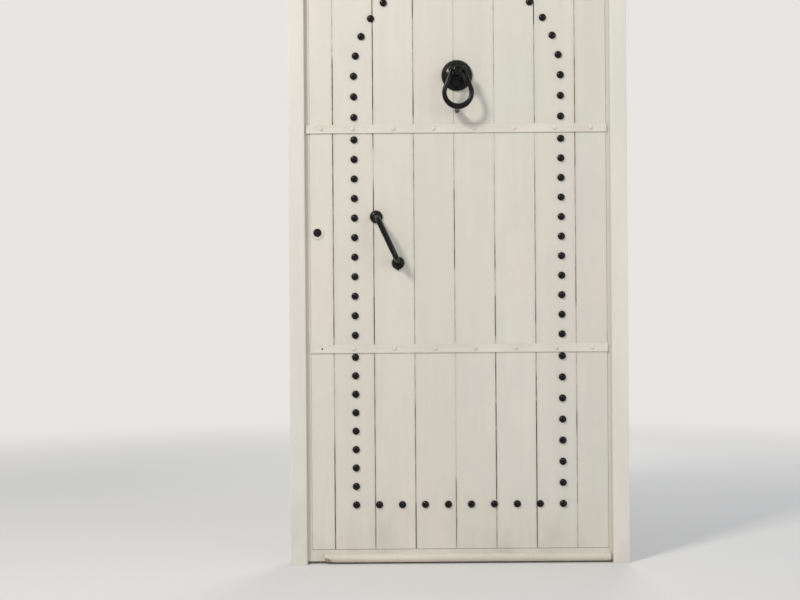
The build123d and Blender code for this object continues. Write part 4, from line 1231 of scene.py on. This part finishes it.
# %% [markdown]
# ## Worn paint
# The lower corner of the weather bar's end on the lock side is chipped: the paint is gone and splintered
# wood shows. How bare each point of the bar is goes into an attribute, so that the finish can change from
# paint to wood in exactly that place. Noise is added to it first, so the paint ends in flakes.

# %% Finish for the weather bar
def worn_paint(name):
    """Thick paint that has flaked off down to grey-brown wood where the piece is worn."""
    made, shader, place = new_finish(name, 0.5)
    worn = made.node_tree.nodes.new("ShaderNodeAttribute")
    worn.attribute_name = "bare"
    flake = noise(made, stretched(made, place, (0.5, 1, 1)), 160, 5, 0.65)
    edge = between(made, flake, 0.3, 0.7, -0.35, 0.35)
    edge = calc(made, "ADD", worn.outputs["Fac"], edge)
    broad = noise(made, stretched(made, place, (0.4, 1, 1)), 14, 3)
    broad = between(made, broad, 0.35, 0.65)
    paint = over(made, broad, srgb(216, 207, 192), srgb(205, 198, 182))
    dots = noise(made, stretched(made, place, (1, 1, 1), (2, 5, 1)), 95, 5, 0.7)
    paint = layer(made, paint, dots, 0.63, 0.70, 0.55, srgb(132, 106, 80))
    fibre = noise(made, stretched(made, place, (0.06, 1, 1)), 520, 4, 0.65)
    wood = over(made, between(made, fibre, 0.35, 0.7), srgb(182, 158, 128), srgb(128, 102, 76))
    bare = between(made, edge, 0.46, 0.54)
    use(made, over(made, bare, paint, wood), shader, "Base Color")
    use(made, over(made, bare, (0.5, 0.5, 0.5), (0.85, 0.85, 0.85)), shader, "Roughness")
    height = calc(made, "MULTIPLY", bare, -1.0)
    height = calc(made, "ADD", height, calc(made, "MULTIPLY", fibre, 0.5))
    relief(made, shader, height, 0.5, 0.0007)
    return made


worn_white = worn_paint("worn_white")
print("worn paint ready")

# %% [markdown]
# ## Weather bar
# A half-round bar at the door's foot throws the rain off. It starts as a cylinder lying along X that is
# cut in half, and it is then divided more finely towards the chipped end. There the points are drawn in
# along the grain, more at the edge than in the middle, with noise that is long in the grain's direction.

# %% Divide the weather bar
bar_low, bar_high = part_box("weather_bar")
bar_middle = (bar_low + bar_high) / 2
bar_out = bar_high.y - bar_low.y
fine_cut, coarse_cut, coarse_start = 0.0016, 0.03, 0.056
clear()
bpy.ops.mesh.primitive_cylinder_add(
    vertices=40, radius=1, depth=bar_high.x - bar_low.x,
    location=(bar_middle.x, bar_high.y, bar_middle.z), rotation=along_x,
)
bar = bpy.context.object
bar.scale = ((bar_high.z - bar_low.z) / 2, bar_out, 1)
bpy.ops.object.transform_apply(location=True, rotation=True, scale=True)
edit(bar)
bpy.ops.mesh.bisect(plane_co=(0, bar_high.y, 0), plane_no=(0, 1, 0), use_fill=True, clear_outer=True)
cut_places = [bar_low.x + fine_cut * k for k in range(1, 34)]
cut_places += [bar_low.x + coarse_start + coarse_cut * k for k in range(27)]
for cut_x in cut_places:
    bpy.ops.mesh.select_all(action="SELECT")
    bpy.ops.mesh.bisect(plane_co=(cut_x, 0, 0), plane_no=(1, 0, 0))
bpy.ops.mesh.select_all(action="SELECT")
bpy.ops.mesh.normals_make_consistent(inside=False)
clear()
print("weather bar cut at", len(cut_places), "places")

# %% [markdown]
# ## Chipping the end
# Wood breaks along its fibres. So the noise that draws the points in changes slowly along the bar and
# fast across it, and a second, rounder noise makes the broken face lumpy. The rest of the bar only gets
# the slight waviness of thick paint.

# %% Chip the weather bar
bare = bar.data.attributes.new("bare", "FLOAT", "POINT")
for vertex, kept in zip(bar.data.vertices, bare.data):
    x, y, z = vertex.co
    along = x - bar_low.x
    front = (bar_high.y - y) / bar_out
    fibre = turbulence.noise(Vector((along * 40, y * 700, z * 700)))
    lump = turbulence.noise(Vector((along * 130, y * 260, z * 260 + 9)))
    below = min(1.0, max(0.0, (bar_middle.z + 0.006 - z) / 0.010))
    torn = below * max(0.0, 1 - along / (0.030 + 0.012 * fibre))
    kept.value = min(1.0, torn * 1.8)
    vertex.co.x += torn * (0.003 + 0.004 * fibre)
    vertex.co.y += torn * front * (0.0024 + 0.0018 * lump)
    vertex.co.z += torn * below * (0.0012 + 0.0010 * lump)
    wander = 0.0002 * turbulence.noise(Vector((along * 22, 0, vertex.co.z * 120)))
    vertex.co.y += wander * front * (1 - torn)
worn_bar = settle(bar, "worn_weather_bar", worn_white, 35)
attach(worn_bar, "leaf")
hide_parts("weather_bar")
print("weather bar:", len(worn_bar.data.polygons), "faces")

# %% [markdown]
# ## Measure and finish
# Before the end, the box of the dressed door is printed beside the box of the solids, so that one can
# see whether anything grew past the real size.

# %% Measure and finish
bpy.context.view_layer.update()
visual_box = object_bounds()
for title, box in (("cad", cad_box), ("visual", visual_box)):
    print(title, [round(v, 4) for v in box[1] - box[0]])
